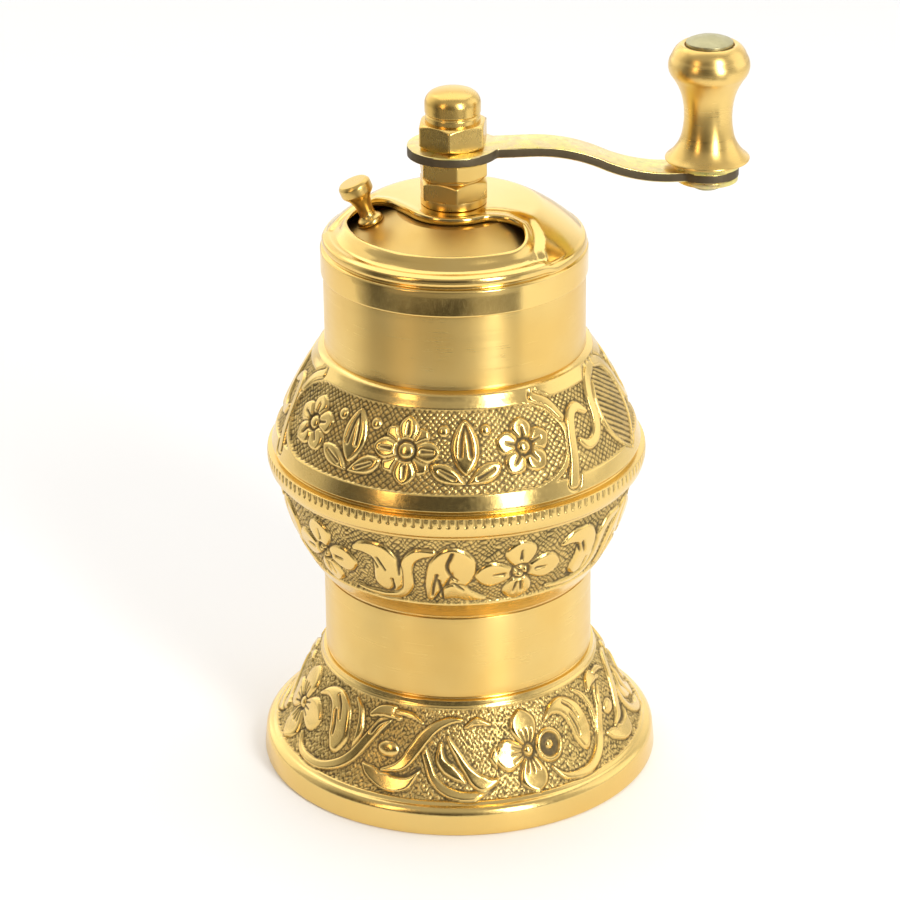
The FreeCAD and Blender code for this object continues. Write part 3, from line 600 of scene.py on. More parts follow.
# ---- node materials ----------------------------------------------------------------------------
class Nodes:
    """Short names for the node calls that every material here makes."""

    def __init__(self, owner, coordinates="Object"):
        owner.use_nodes = True
        self.owner = owner
        self.tree = owner.node_tree
        self.tree.nodes.clear()
        self.place = self.new("TexCoord").outputs[coordinates]

    def new(self, kind):
        return self.tree.nodes.new("ShaderNode" + kind)

    def link(self, a, b):
        self.tree.links.new(a, b)

    def stretched(self, x, y, z):
        node = self.new("Mapping")
        node.inputs["Scale"].default_value = (x, y, z)
        self.link(self.place, node.inputs["Vector"])
        return node.outputs[0]

    def noise(self, scale, detail=3.0, rough=0.5, vector=None, distortion=0.0):
        node = self.new("TexNoise")
        node.inputs["Scale"].default_value = scale
        node.inputs["Detail"].default_value = detail
        node.inputs["Roughness"].default_value = rough
        node.inputs["Distortion"].default_value = distortion
        self.link(vector if vector is not None else self.place, node.inputs["Vector"])
        return node.outputs["Fac"]

    def ramp(self, value, stops, interpolation="EASE"):
        node = self.new("ValToRGB")
        ramp = node.color_ramp
        ramp.interpolation = interpolation
        while len(ramp.elements) < len(stops):
            ramp.elements.new(0.5)
        for element, (position, colour) in zip(ramp.elements, stops):
            element.position = position
            element.color = (*colour, 1)
        self.link(value, node.inputs["Fac"])
        return node.outputs["Color"]

    def span(self, value, low, high, to_low, to_high):
        node = self.new("MapRange")
        for name, number in (("From Min", low), ("From Max", high), ("To Min", to_low), ("To Max", to_high)):
            node.inputs[name].default_value = number
        self.link(value, node.inputs["Value"])
        return node.outputs[0]

    def math(self, operation, a, b):
        node = self.new("Math")
        node.operation = operation
        for socket, value in zip(node.inputs, (a, b)):
            if isinstance(value, (int, float)):
                socket.default_value = value
            else:
                self.link(value, socket)
        return node.outputs[0]

    def mix(self, share, a, b):
        node = self.new("Mix")
        node.data_type = "RGBA"
        first, second = (s for s in node.inputs if s.type == "RGBA")
        for socket, value in ((node.inputs["Factor"], share), (first, a), (second, b)):
            if isinstance(value, (int, float)):
                socket.default_value = value
            elif isinstance(value, tuple):
                socket.default_value = (*value, 1)
            else:
                self.link(value, socket)
        return [s for s in node.outputs if s.type == "RGBA"][0]

    def bump(self, height, strength, distance, under=None):
        node = self.new("Bump")
        node.inputs["Strength"].default_value = strength
        node.inputs["Distance"].default_value = distance
        self.link(height, node.inputs["Height"])
        if under is not None:
            self.link(under, node.inputs["Normal"])
        return node.outputs[0]

    def attribute(self, name):
        node = self.new("Attribute")
        node.attribute_name = name
        return node.outputs["Fac"]

    def finish(self, colour, roughness, normal=None, metallic=1.0, anisotropic=0.0):
        """Sets up the surface and returns its shader."""
        shader = self.new("BsdfPrincipled")
        self.link(shader.outputs[0], self.new("OutputMaterial").inputs["Surface"])
        if isinstance(metallic, (int, float)):
            shader.inputs["Metallic"].default_value = metallic
        else:
            self.link(metallic, shader.inputs["Metallic"])
        self.link(colour, shader.inputs["Base Color"])
        self.link(roughness, shader.inputs["Roughness"])
        if normal is not None:
            self.link(normal, shader.inputs["Normal"])
        if anisotropic:
            shader.inputs["Anisotropic"].default_value = anisotropic
            shader.inputs["Anisotropic Rotation"].default_value = 0.25
            tangent = self.new("Tangent")
            tangent.direction_type = "RADIAL"
            tangent.axis = "Z"
            self.link(tangent.outputs[0], shader.inputs["Tangent"])
        return shader


BRASS = (0.80, 0.56, 0.18)
BRASS_PALE = (0.82, 0.61, 0.24)
BRASS_RED = (0.78, 0.50, 0.14)
PATINA = (0.105, 0.078, 0.030)
PATINA_OLIVE = (0.30, 0.225, 0.085)


def new_material(name):
    return Nodes(bpy.data.materials.new(name))


def metal_tint(n, base, pale, deep):
    """Slow colour changes over a brass surface."""
    slow = n.noise(70, 2, 0.5)
    colour = n.mix(n.span(slow, 0.35, 0.65, 0.0, 1.0), pale, deep)
    return n.mix(0.55, colour, base)


def turned_brass(name, line_strength=0.25, rough=(0.20, 0.34), anisotropic=0.75, lines=5200, base=BRASS):
    """Brass from the lathe: fine rings round the axis, and handling marks."""
    n = new_material(name)
    rings = n.noise(1.0, 4, 0.65, n.stretched(14, 14, lines))
    broad = n.noise(1.0, 2, 0.5, n.stretched(25, 25, 900))
    smudge = n.noise(160, 4, 0.6)
    colour = metal_tint(n, base, BRASS_PALE, BRASS_RED)
    colour = n.mix(n.span(smudge, 0.55, 0.8, 0.0, 0.18), colour, (0.70, 0.46, 0.16))
    turned = n.span(rings, 0.3, 0.7, *rough)
    roughness = n.math("ADD", turned, n.span(smudge, 0.3, 0.8, -0.02, 0.07))
    normal = n.bump(rings, line_strength, 0.00003)
    normal = n.bump(broad, line_strength * 0.6, 0.00006, normal)
    n.finish(colour, roughness, normal, anisotropic=anisotropic)
    return n.owner


def polished_brass(name, rough=(0.09, 0.2), base=BRASS, dent=0.25):
    """Buffed brass: hairline scratches, faint dents and fingermarks."""
    n = new_material(name)
    smudge = n.noise(120, 4, 0.6)
    hair = n.noise(1.0, 3, 0.7, n.stretched(3800, 300, 900), 0.4)
    wave = n.noise(180, 2, 0.5)
    colour = metal_tint(n, base, BRASS_PALE, BRASS_RED)
    handled = n.span(smudge, 0.35, 0.7, *rough)
    roughness = n.math("ADD", handled, n.span(hair, 0.5, 0.75, 0.0, 0.06))
    normal = n.bump(wave, dent, 0.00006)
    normal = n.bump(hair, 0.12, 0.00002, normal)
    n.finish(colour, roughness, normal)
    return n.owner


def relief_brass(name):
    """Cast ornament: high parts wiped bright, and a brown-olive patina left in the ground."""
    n = new_material(name)
    polish = n.attribute("polish")
    grain = n.noise(1500, 3, 0.6)
    cloud = n.noise(220, 3, 0.6)
    worn = n.math("ADD", polish, n.span(grain, 0.3, 0.7, -0.12, 0.12))
    worn = n.math("ADD", worn, n.span(cloud, 0.3, 0.7, -0.10, 0.10))
    dark = n.mix(n.span(cloud, 0.35, 0.65, 0.0, 1.0), PATINA, (0.15, 0.105, 0.05))
    shares = ((0.0, 0.0), (0.16, 0.12), (0.52, 0.62), (0.8, 1.0))
    wiped = n.ramp(worn, [(position, (share,) * 3) for position, share in shares])
    bright = metal_tint(n, BRASS, BRASS_PALE, (0.84, 0.58, 0.20))
    colour = n.mix(wiped, n.mix(wiped, dark, PATINA_OLIVE), bright)
    roughness = n.math("ADD", n.span(worn, 0.1, 0.9, 0.62, 0.2), n.span(grain, 0.3, 0.7, -0.03, 0.05))
    metallic = n.span(worn, 0.0, 0.35, 0.55, 1.0)
    normal = n.bump(grain, 0.22, 0.00005)
    n.finish(colour, roughness, normal, metallic=metallic)
    return n.owner


def zinc_steel(name):
    """Yellow-passivated zinc plate: a pale metal with straw, green and pink clouds."""
    n = new_material(name)
    cloud = n.noise(150, 4, 0.6, None, 0.8)
    fine = n.noise(900, 3, 0.6)
    colour = n.ramp(cloud, [
        (0.30, (0.60, 0.58, 0.20)), (0.42, (0.79, 0.70, 0.20)), (0.52, (0.80, 0.65, 0.22)),
        (0.60, (0.79, 0.60, 0.27)), (0.72, (0.66, 0.62, 0.22)),
    ])
    colour = n.mix(n.span(fine, 0.4, 0.7, 0.0, 0.35), colour, (0.45, 0.42, 0.30))
    roughness = n.span(fine, 0.3, 0.7, 0.22, 0.42)
    normal = n.bump(n.noise(1.0, 3, 0.6, n.stretched(200, 2600, 2600)), 0.18, 0.00004)
    n.finish(colour, roughness, normal)
    return n.owner


def steel(name, tone, rough, scale=1500, stretch=None, strength=0.3):
    """A grey or stained metal with a fine grain."""
    n = new_material(name)
    vector = n.stretched(*stretch) if stretch else None
    grain = n.noise(1.0 if stretch else scale, 4, 0.6, vector)
    stain = n.noise(200, 3, 0.6)
    darker = tuple(c * 0.6 for c in tone)
    colour = n.mix(n.span(stain, 0.3, 0.75, 0.0, 0.7), tone, darker)
    roughness = n.span(grain, 0.3, 0.7, rough, rough + 0.2)
    n.finish(colour, roughness, n.bump(grain, strength, 0.00008))
    return n.owner


M = {
    "relief": relief_brass("relief_brass"),
    "neck": turned_brass("turned_brass", line_strength=0.17, rough=(0.25, 0.36)),
    "lid": polished_brass("pressed_brass", rough=(0.12, 0.22), dent=0.12),
    "shutter": polished_brass("shutter_brass", rough=(0.32, 0.42), base=(0.46, 0.31, 0.09), dent=0.04),
    "fitting": polished_brass("hexagon_brass", rough=(0.24, 0.34), base=(0.68, 0.45, 0.11), dent=0.03),
    "knob": turned_brass("knob_brass", line_strength=0.1, rough=(0.24, 0.32), anisotropic=0.35, lines=3600),
    "zinc": zinc_steel("yellow_zinc"),
    "sheared": steel("sheared_edge", (0.16, 0.125, 0.075), 0.45, scale=900, strength=0.5),
    "pin": steel("pin_zinc", (0.52, 0.48, 0.27), 0.34, scale=1200, strength=0.15),
    "inside": turned_brass("inner_brass", line_strength=0.4, rough=(0.34, 0.5), lines=2200,
                           base=(0.74, 0.52, 0.22)),
    "burr": steel("burr_iron", (0.30, 0.295, 0.29), 0.42),
    "bar": steel("bright_bar", (0.62, 0.61, 0.60), 0.24, stretch=(60, 60, 3000)),
    "spring": steel("spring_wire", (0.50, 0.50, 0.52), 0.22, scale=3000),
}


def dress(made, material, body, replaced):
    """Gives a piece its material, the body it rides on and the CAD nodes it stands for."""
    made.data.materials.clear()
    made.data.materials.append(M[material])
    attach(made, body)
    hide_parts(*replaced)
    return made


# ---- receiver cup ------------------------------------------------------------------------------
def cup_foot():
    floor_r = node_mm("base_floor")[1][0]
    outer = outline([
        (floor_r + GAP, 0.0),
        (BASE_R - 0.6, 0.0),
        ((BASE_R - 0.15, 0.18), (BASE_R, 0.6)),
        (BASE_R - 0.25, 3.3),
        ((BASE_R - 0.6, 4.2), (BASE_R - 1.5, 4.75)),
        (30.7, 5.0),
        ((28.35, 8.0), (26.6, 11.7)),
        ((24.75, 15.4), (22.5, 18.2)),
        (22.3, 18.98),
        (COLLAR_R, COLLAR_Z - 0.18),
        (COLLAR_R, COLLAR_Z),
    ], soft=0.22, gap=0.9, fine=(4.9, 18.35, 0.17))
    inner = trace([
        (BORE_R, COLLAR_Z), (BORE_R, 18.8), ((23.1, 15.0), (25.0, 11.4)), ((26.9, 7.5), (29.0, 4.4)),
        (29.4, 1.5), (floor_r + GAP, 1.5),
    ], 1.6)

    def collar(angle, z, rise, polish):
        return rise, np.where(z > 18.6, 1, polish)

    made = ornamented("cup_foot", outer, inner, 5.0, 18.25, foot_relief, collar)
    dress(made, "relief", "base_cup", ["base_shell"])


def cup_wall():
    rows = outline([
        (BORE_R, COLLAR_Z), (COLLAR_R, COLLAR_Z), (COLLAR_R, COLLAR_Z + 0.15), (21.86, 19.5),
        (21.8, SEAM_Z - GAP), (BORE_R, SEAM_Z - GAP),
    ], soft=0.14, gap=1.4)
    dress(lathe("cup_wall", rows, 256), "neck", "base_cup", ["base_shell"])


# ---- hopper ------------------------------------------------------------------------------------
def flute_band(angle, z, rise, polish):
    """Short upright cuts round the upper half of the waist."""
    wave = np.abs(((angle * FLUTES / (2 * math.pi)) % 1.0) - 0.5) * 2
    slot = smooth((wave - 0.55) / 0.3)
    window = smooth((z - 53.55) / 0.15) * smooth((55.0 - z) / 0.15)
    cut = slot * window
    return rise - 0.42 * cut, polish * (1 - 0.72 * cut)


def hopper_bowl():
    outer = outline([
        (BORE_R, SEAM_Z + GAP),
        (21.7, SEAM_Z + GAP),
        (21.9, 34.1),
        (22.4, 34.4),
        ((26.2, 40.8), (28.3, 47.0)),
        (28.9, 49.7),
        (29.45, 51.4),
        (30.1, 51.9),
        ((30.5, 53.4), (30.42, 55.0)),
        (29.3, 55.15),
        (WAIST_R, WAIST_Z),
    ], soft=0.18, gap=0.9, fine=(34.4, 55.05, 0.17))
    inner = trace([
        (WAIST_BORE_R, WAIST_Z), (27.4, 49.6), ((24.9, 41.4), (BORE_R, 35.6)), (BORE_R, SEAM_Z + GAP),
    ], 1.8)[:-1]
    made = ornamented("hopper_bowl", outer, inner, 34.1, 50.9, bowl_relief, flute_band)
    dress(made, "relief", "hopper", ["hopper_shell"])


def hopper_shoulder():
    outer = outline([
        (WAIST_R, WAIST_Z),
        (29.25, 55.5),
        (29.75, 55.95),
        ((27.4, 62.3), (22.2, 71.4)),
        (21.9, 72.0),
        (21.5, 72.25),
        (20.9, NECK_Z),
    ], soft=0.2, gap=0.9, fine=(56.0, 71.5, 0.17))
    inner = trace([(NECK_BORE_R, NECK_Z), ((25.7, 62.0), (WAIST_BORE_R, 56.0)), (WAIST_BORE_R, WAIST_Z)], 1.8)
    made = ornamented("hopper_shoulder", outer, inner, 55.9, 71.9, shoulder_relief)
    dress(made, "relief", "hopper", ["hopper_shell"])


def hopper_neck():
    rows = outline([
        (NECK_BORE_R, NECK_Z), (20.9, NECK_Z), (20.85, 72.8), (20.8, 73.0), (20.8, SKIRT_Z - GAP),
        (20.16, SKIRT_Z - GAP), (20.16, NECK_TOP_Z), (NECK_BORE_R, NECK_TOP_Z),
    ], soft=0.12, gap=1.4)
    dress(lathe("hopper_neck", rows, 256), "neck", "hopper", ["hopper_shell"])


# ---- lid ---------------------------------------------------------------------------------------
SLOT_IN_R = 7.6
SLOT_OUT_R = 16.8
SLOT_END_AZ = -64.0      # middle of the wide round end
SLOT_TAIL_AZ = -178.5    # middle of the narrow round end
SLOT_TAIL_R = 3.9
RIM_R = 20.35            # where the lid's top meets its skirt
RIM_POINTS = 256
HOLE_R = 4.5             # for the bush
HOLE_POINTS = 64


def polar(r, azimuth_deg):
    a = np.radians(azimuth_deg)
    return np.stack([r * np.cos(a), r * np.sin(a)], axis=-1)


def slot_loop(step=0.3):
    """The filling slot's outline and its outward normals, in order."""
    mid_r = (SLOT_IN_R + SLOT_OUT_R) / 2
    end_r = (SLOT_OUT_R - SLOT_IN_R) / 2
    tail_centre_r = SLOT_OUT_R - SLOT_TAIL_R
    leave = SLOT_TAIL_AZ + math.degrees(math.acos((SLOT_IN_R + SLOT_TAIL_R) / tail_centre_r))
    tail = polar(tail_centre_r, SLOT_TAIL_AZ)
    pieces = []

    def bend(centre, radius, start, end, side):
        count = max(3, int(abs(math.radians(end - start)) * radius / step))
        a = np.linspace(start, end, count, endpoint=False)
        pieces.append((centre + polar(radius, a), side * polar(1.0, a)))

    bend(np.zeros(2), SLOT_OUT_R, SLOT_END_AZ, SLOT_TAIL_AZ, 1)
    bend(tail, SLOT_TAIL_R, SLOT_TAIL_AZ, leave - 180, 1)
    a = tail + polar(SLOT_TAIL_R, leave - 180)
    b = polar(SLOT_IN_R, leave)
    share = np.linspace(0, 1, max(2, int(np.linalg.norm(b - a) / step)), endpoint=False)[:, None]
    pieces.append((a + (b - a) * share, np.repeat(polar(1.0, leave - 180)[None], len(share), axis=0)))
    bend(np.zeros(2), SLOT_IN_R, leave, SLOT_END_AZ, -1)
    bend(polar(mid_r, SLOT_END_AZ), end_r, SLOT_END_AZ + 180, SLOT_END_AZ, 1)
    return np.concatenate([p for p, _ in pieces]), np.concatenate([q for _, q in pieces])


def in_slot(points, loop):
    """True for the points inside the slot: a line from them crosses its outline an odd number of times."""
    x, y = points[:, 0], points[:, 1]
    crossings = np.zeros(len(points), int)
    for a, b in zip(loop, np.roll(loop, -1, axis=0)):
        hit = (a[1] > y) != (b[1] > y)
        where = a[0] + (y - a[1]) * (b[0] - a[0]) / (b[1] - a[1] + 1e-12)
        crossings += hit & (x < where)
    return crossings % 2 == 1


def slot_distance(points, loop):
    """Distance to the slot's outline, in blocks that keep the table of distances small."""
    near = np.full(len(points), 1e9)
    for start in range(0, len(points), 2000):
        block = points[start:start + 2000]
        near[start:start + 2000] = np.linalg.norm(block[:, None] - loop[None], axis=2).min(1)
    return near


def softer_max(a, b, soft):
    """The larger of two, rounded where they cross."""
    return soft * np.logaddexp(a / soft, b / soft)


def lid_top_z(points, loop):
    """The lid's pressed top: a dome with a sunk pan round the slot, a lip and a rolled rim."""
    dome = outline([(0.0, LID_TOP_Z), (HOLE_R, LID_TOP_Z), (13.6, 95.35), ((18.3, 92.35), (20.6, 90.3))],
                   0.8, 0.3)
    r = np.linalg.norm(points, axis=1)
    azimuth = np.degrees(np.arctan2(points[:, 1], points[:, 0]))
    azimuth = np.where(azimuth > 90, azimuth - 360, azimuth)
    near = slot_distance(points, loop)
    z = np.interp(r, dome[:, 0], dome[:, 1])
    # the pan runs out to the rim in front, between two radial steps
    right_az, left_az = -50.0, -186.0
    right = r * np.sin(np.radians(azimuth - right_az))
    left = r * np.sin(np.radians(left_az - azimuth))
    sector = softer_max(softer_max(right, left, 0.35), 13.0 - r, 0.35)
    pan = -softer_max(2.3 - near, -sector, 0.45)
    full = np.maximum(smooth((azimuth + 150.0) / 85.0), smooth((r - 12.5) / 2.0))
    inner = 1 - smooth((r - 9.5) / 3.0)
    at_rim = smooth((r - 19.0) / 1.2)
    pan_depth, lip_height, roll_height = 0.66, 0.42, 0.33
    z = z - pan_depth * smooth((0.7 - pan) / 1.4) * full * (1 - 0.55 * inner) * (1 - at_rim)
    # rolled lip that stands up round the slot, the roll at the rim, and the slot's rounded edge
    z = z + lip_height * smooth((1.35 - near) / 0.7) * np.maximum(full, 0.4) * (1 - 0.5 * inner)
    z = z + roll_height * at_rim * smooth((0.7 - sector) / 1.4)
    edge_r = 0.36
    drop = np.clip(1 - near / edge_r, 0, 1)
    return z - edge_r * (1 - np.sqrt(np.clip(1 - drop ** 2, 0, 1)))


def lid_sheet():
    """The lid's top seen from above, as triangles: rows along the slot's edge, and even points elsewhere.

    Returns the slot's outline, the points, the triangles, and the numbers of the rim's points in order.
    """
    loop, normal = slot_loop()
    offsets = [0.05, 0.12, 0.22, 0.36, 0.55, 0.8, 1.1, 1.45, 1.85, 2.3, 2.8]
    gap = 0.42
    margin = 0.12
    spread = []
    for k, r in enumerate(np.arange(HOLE_R + 0.4, RIM_R - 0.15, gap)):
        count = int(2 * math.pi * r / gap)
        spread.append(polar(r, np.arange(count) * 360.0 / count + k * 7.3))
    spread = np.concatenate(spread)
    clear = slot_distance(spread, loop) > offsets[-1] + 0.2
    spread = spread[clear & ~in_slot(spread, loop)]
    rim = polar(RIM_R, np.arange(RIM_POINTS) * 360.0 / RIM_POINTS)
    hole = polar(HOLE_R, np.arange(HOLE_POINTS) * 360.0 / HOLE_POINTS)
    along = []
    for row in (loop + normal * d for d in offsets):
        r = np.linalg.norm(row, axis=1)
        along.append(row[(r < RIM_R - margin) & (r > HOLE_R + margin)])
    edges = []
    start = 0
    for ring in (rim, hole, loop):
        edges += [(start + i, start + (i + 1) % len(ring)) for i in range(len(ring))]
        start += len(ring)
    points = np.concatenate([rim, hole, loop] + along + [spread])
    found = delaunay_2d_cdt([Vector(p) for p in points], edges, [], 0, 1e-5)
    flat = np.array([tuple(v) for v in found[0]])
    number_of = {given: made for made, givens in enumerate(found[3]) for given in givens}
    tris = np.array([f for f in found[2] if len(f) == 3])
    middle = flat[tris].mean(1)
    r = np.linalg.norm(middle, axis=1)
    hole_inner = HOLE_R * math.cos(math.pi / HOLE_POINTS)
    tris = tris[~in_slot(middle, loop) & (r > hole_inner) & (r < RIM_R)]
    return loop, flat, tris, np.array([number_of[k] for k in range(RIM_POINTS)])


def lid_side(rim_z):
    """Rows below the rim: a roll over a groove in front, a plain round edge elsewhere, and the skirt."""
    seat_z, sleeve_r = 89.0, 20.22
    groove_z = seat_z + 0.32
    angles = 2 * math.pi * np.arange(RIM_POINTS) / RIM_POINTS
    azimuth = np.degrees(np.where(angles > math.pi / 2, angles - 2 * math.pi, angles))
    rolled = smooth((-45.0 - azimuth) / 9.0) * smooth((azimuth + 196.0) / 9.0)
    groove_r = 20.33 + 0.6 * (1 - rolled)
    rows = []
    for t in np.linspace(0, 1, 13)[1:]:
        bulge = (0.52 * rolled + 0.2 * (1 - rolled)) * math.sin(math.pi * t) ** 0.8
        r = RIM_R + (groove_r - RIM_R) * t + bulge
        rows.append(round_axis(r, rim_z + (groove_z - rim_z) * (1 - math.cos(math.pi * t)) / 2, angles))
    skirt = outline([
        (SKIRT_R - 0.5, seat_z + 0.12), (SKIRT_R - 0.2, seat_z), (SKIRT_R, seat_z - 0.25),
        (SKIRT_R, SKIRT_Z + 0.1), (SKIRT_R - 0.1, SKIRT_Z),
        (sleeve_r, SKIRT_Z), (sleeve_r, seat_z), (19.5, seat_z),
    ], soft=0.12, gap=0.9)
    return np.concatenate([rows, round_axis(skirt[:, 0:1], skirt[:, 1:2], angles)])


def lid():
    """Pressed from sheet: the top, its underside, the walls of the holes, and the skirt."""
    loop, flat, tris, rim = lid_sheet()
    top = np.column_stack([flat, lid_top_z(flat, loop)])
    r = np.linalg.norm(flat, axis=1)
    pull_r, under_rim_r = 17.2, 19.45
    pull = smooth((r - pull_r) / (RIM_R - pull_r)) * (RIM_R - under_rim_r)
    low_flat = flat * (1 - pull / np.maximum(r, 1e-6))[:, None]
    under = outline([(HOLE_R, LID_TOP_Z - 1.0), (13.9, 94.2), ((17.4, 91.7), (19.6, 89.0))], 0.4, 0.3)
    under_z = np.interp(np.linalg.norm(low_flat, axis=1), under[:, 0], under[:, 1])
    bottom = np.column_stack([low_flat, np.minimum(under_z, top[:, 2] - 0.3)])
    count = len(top)
    # edges used once are the borders: the rim, the bush's hole and the slot
    sides = np.concatenate([tris[:, [0, 1]], tris[:, [1, 2]], tris[:, [2, 0]]])
    _, index, uses = np.unique(np.sort(sides, axis=1), axis=0, return_index=True, return_counts=True)
    border = sides[index[uses == 1]]
    on_rim = np.abs(r[border[:, 0]] - RIM_R) < 0.02
    a, b = border[~on_rim].T
    faces = [tris, tris[:, ::-1] + count]
    faces += [np.column_stack([b, a, a + count]), np.column_stack([b, a + count, b + count])]
    side = lid_side(top[rim, 2])
    first = 2 * count
    columns = np.arange(RIM_POINTS)
    rows = [rim] + [first + k * RIM_POINTS + columns for k in range(len(side))] + [rim + count]
    for a, b in zip(rows[:-1], rows[1:]):
        next_a, next_b = np.roll(a, -1), np.roll(b, -1)
        faces += [np.column_stack([a, b, next_b]), np.column_stack([a, next_b, next_a])]
    points = np.concatenate([top, bottom, side.reshape(-1, 3)])
    made = mesh_object("lid_pressed", points, np.concatenate(faces))
    with editing(made) as work:
        bmesh.ops.recalc_face_normals(work, faces=work.faces)
    dress(made, "lid", "hopper", ["lid_cap"])


# ---- parts on the shaft ------------------------------------------------------------------------
def on_axis(rows):
    """An outline whose first and last points lie exactly on the axis."""
    rows[0][0] = rows[-1][0] = 0.0
    return rows


def fitting(made, body, node):
    dress(made, "fitting", body, [node])


def hexagons():
    """The bush's round collar and hexagon, the adjusting nut over it, and the acorn nut."""
    bore_r, neck_r, collar_r = 3.05, HOLE_R - 0.04, 5.2
    low, high = node_mm("guide_bush")
    collar_z = high[2] - 2.9
    rows = outline([
        (bore_r, low[2]), (neck_r, low[2]), (neck_r, LID_TOP_Z + GAP), (collar_r, LID_TOP_Z + GAP),
        (collar_r, collar_z - GAP), (bore_r, collar_z - GAP),
    ], soft=0.14, gap=1.5)
    fitting(lathe("bush_collar", rows, 96), "hopper", "guide_bush")
    fitting(nut("bush_hexagon", collar_z, high[2], bore_r, cut_low=False), "hopper", "guide_bush")
    low, high = node_mm("adjusting_nut")
    fitting(nut("adjusting_hexagon", low[2], high[2] - GAP, bore_r), "adjuster", "adjusting_nut")
    low, high = node_mm("acorn_nut")
    hexagon_z = high[2] - 5.2
    fitting(nut("acorn_hexagon", low[2], hexagon_z, 3.0, corner_deg=19.0), "shaft", "acorn_nut")
    rows = outline([
        (0.0, hexagon_z - 0.3), (4.3, hexagon_z - 0.3), (4.3, 110.15), (4.05, 110.4), (4.38, 110.65),
        (4.38, 111.8), ((4.06, 113.15), (2.9, 113.98)), ((1.5, 114.3), (0.0, high[2] - GAP)),
    ], soft=0.2, gap=0.5, bend_deg=5)
    fitting(lathe("acorn_dome", on_axis(rows), 96), "shaft", "acorn_nut")


def handle():
    """The waisted knob, the riveted pin that it turns on, and the washers at both ends."""
    axis = Matrix.Translation((KNOB_X, 0, 0))
    low, high = node_mm("handle_knob")
    bore_r, sink_z = 1.65, 119.3
    bottom, top = low[2], high[2]
    rows = outline([
        (bore_r, bottom), (6.4, bottom), (6.7, bottom + 0.2), (6.6, bottom + 0.45),
        ((4.95, 103.3), (4.08, 105.4)), ((3.78, 108.0), (4.1, 111.3)), ((4.65, 112.9), (5.6, 114.6)),
        ((6.38, 116.6), (5.85, 118.2)), ((5.25, sink_z), (4.4, top - GAP)),
        (3.85, top - 0.1), (3.85, sink_z), (bore_r, sink_z),
    ], soft=0.3, gap=0.6, bend_deg=4)
    dress(lathe("handle_turned", rows, 144, axis), "knob", "handle", ["handle_knob"])
    pin_r = 1.6
    low, high = node_mm("knob_pin")
    bottom, top = low[2], high[2]
    rows = outline([
        (0.0, bottom), (1.5, bottom + 0.02), ((2.35, bottom + 0.4), (2.6, bottom + 1.45)),
        (pin_r, bottom + 1.5), (pin_r, sink_z + 0.1), (3.66, sink_z + 0.1), (3.7, 120.35),
        ((2.0, 121.0), (0.0, top)),
    ], soft=0.16, gap=0.7)
    dress(lathe("pin_riveted", on_axis(rows), 96, axis), "pin", "shaft", ["knob_pin"])
    for node, name in (("knob_washer", "washer_upper"), ("rivet_washer", "washer_lower")):
        low, high = node_mm(node)
        outer_r = (high[0] - low[0]) / 2
        rows = outline([(pin_r, low[2]), (outer_r, low[2]), (outer_r, high[2]), (pin_r, high[2])],
                       soft=0.12, gap=1.5)
        dress(lathe(name, rows, 96, axis), "zinc", "shaft", [node])


def arm():
    """The cranked strip: a disc at the hub, an S-shaped step down, and an eye."""
    low, high = node_mm("crank_arm")
    half_w, half_t, edge_r = 3.25, 0.8, 0.28
    hub_r, eye_r = -low[0], high[0] - KNOB_X
    step_start, step_end = 12.0, 34.5
    top_mid, low_mid = high[2] - half_t, low[2] + half_t
    quarter = np.radians(np.linspace(0, 90, 22))
    x = np.concatenate([
        -hub_r * np.cos(quarter), np.linspace(0.5, 11.5, 30), np.linspace(12, 35, 60),
        np.linspace(35.5, 39.5, 10), KNOB_X + eye_r * np.sin(quarter),
    ])

    # two equal bends make the step
    half_run = (step_end - step_start) / 2
    drop = (top_mid - low_mid) / 2
    bend_r = (half_run ** 2 + drop ** 2) / (2 * drop)
    first = top_mid - bend_r + np.sqrt(bend_r ** 2 - np.clip(x - step_start, 0, half_run) ** 2)
    second = low_mid + bend_r - np.sqrt(bend_r ** 2 - np.clip(step_end - x, 0, half_run) ** 2)
    z = np.where(x < step_start + half_run, first, second)
    tilt = np.arctan(np.gradient(z, x))[:, None]

    # the strip's sides flow into the disc and the eye
    hub = np.sqrt(np.clip(hub_r ** 2 - x ** 2, 0, None))
    eye = np.sqrt(np.clip(eye_r ** 2 - (x - KNOB_X) ** 2, 0, None))
    strip = np.where((x > 0) & (x < KNOB_X), half_w, 0)
    soft = 0.35
    blend = soft * np.log(np.exp(hub / soft) + np.exp(eye / soft) + np.exp(strip / soft)) - soft * math.log(3)
    sharp = np.maximum(np.maximum(hub, eye), strip)
    between = (x > 1) & (x < KNOB_X - 1)
    half = np.maximum(np.where(between, np.maximum(blend, sharp), sharp), 0.02)[:, None]

    loop = []
    for side_y, side_z, start in ((1, 1, 0), (-1, 1, 90), (-1, -1, 180), (1, -1, 270)):
        for a in np.radians(np.linspace(start, start + 90, 5)):
            loop.append((side_y, side_z, math.cos(a), math.sin(a)))
    side_y, side_z, out_y, out_z = np.array(loop).T
    corner = np.minimum(edge_r, half * 0.9)
    y = side_y * (half - corner) + corner * out_y
    up = side_z * (half_t - edge_r) + edge_r * out_z
    points = np.stack([x[:, None] - up * np.sin(tilt), y, z[:, None] + up * np.cos(tilt)], axis=-1)
    count = len(loop)
    made = mesh_object("arm_forged", points.reshape(-1, 3), grid_faces(len(x), count, False))
    with editing(made) as work:
        work.verts.ensure_lookup_table()
        for start in (0, (len(x) - 1) * count):
            work.faces.new([work.verts[start + k] for k in range(count)])
        bmesh.ops.recalc_face_normals(work, faces=work.faces)
        bmesh.ops.remove_doubles(work, verts=work.verts, dist=MERGE)
    dress(made, "zinc", "shaft", ["crank_arm"])
    made.data.materials.append(M["sheared"])
    for face in made.data.polygons:
        face.material_index = 1 if abs(face.normal.z) < 0.5 else 0


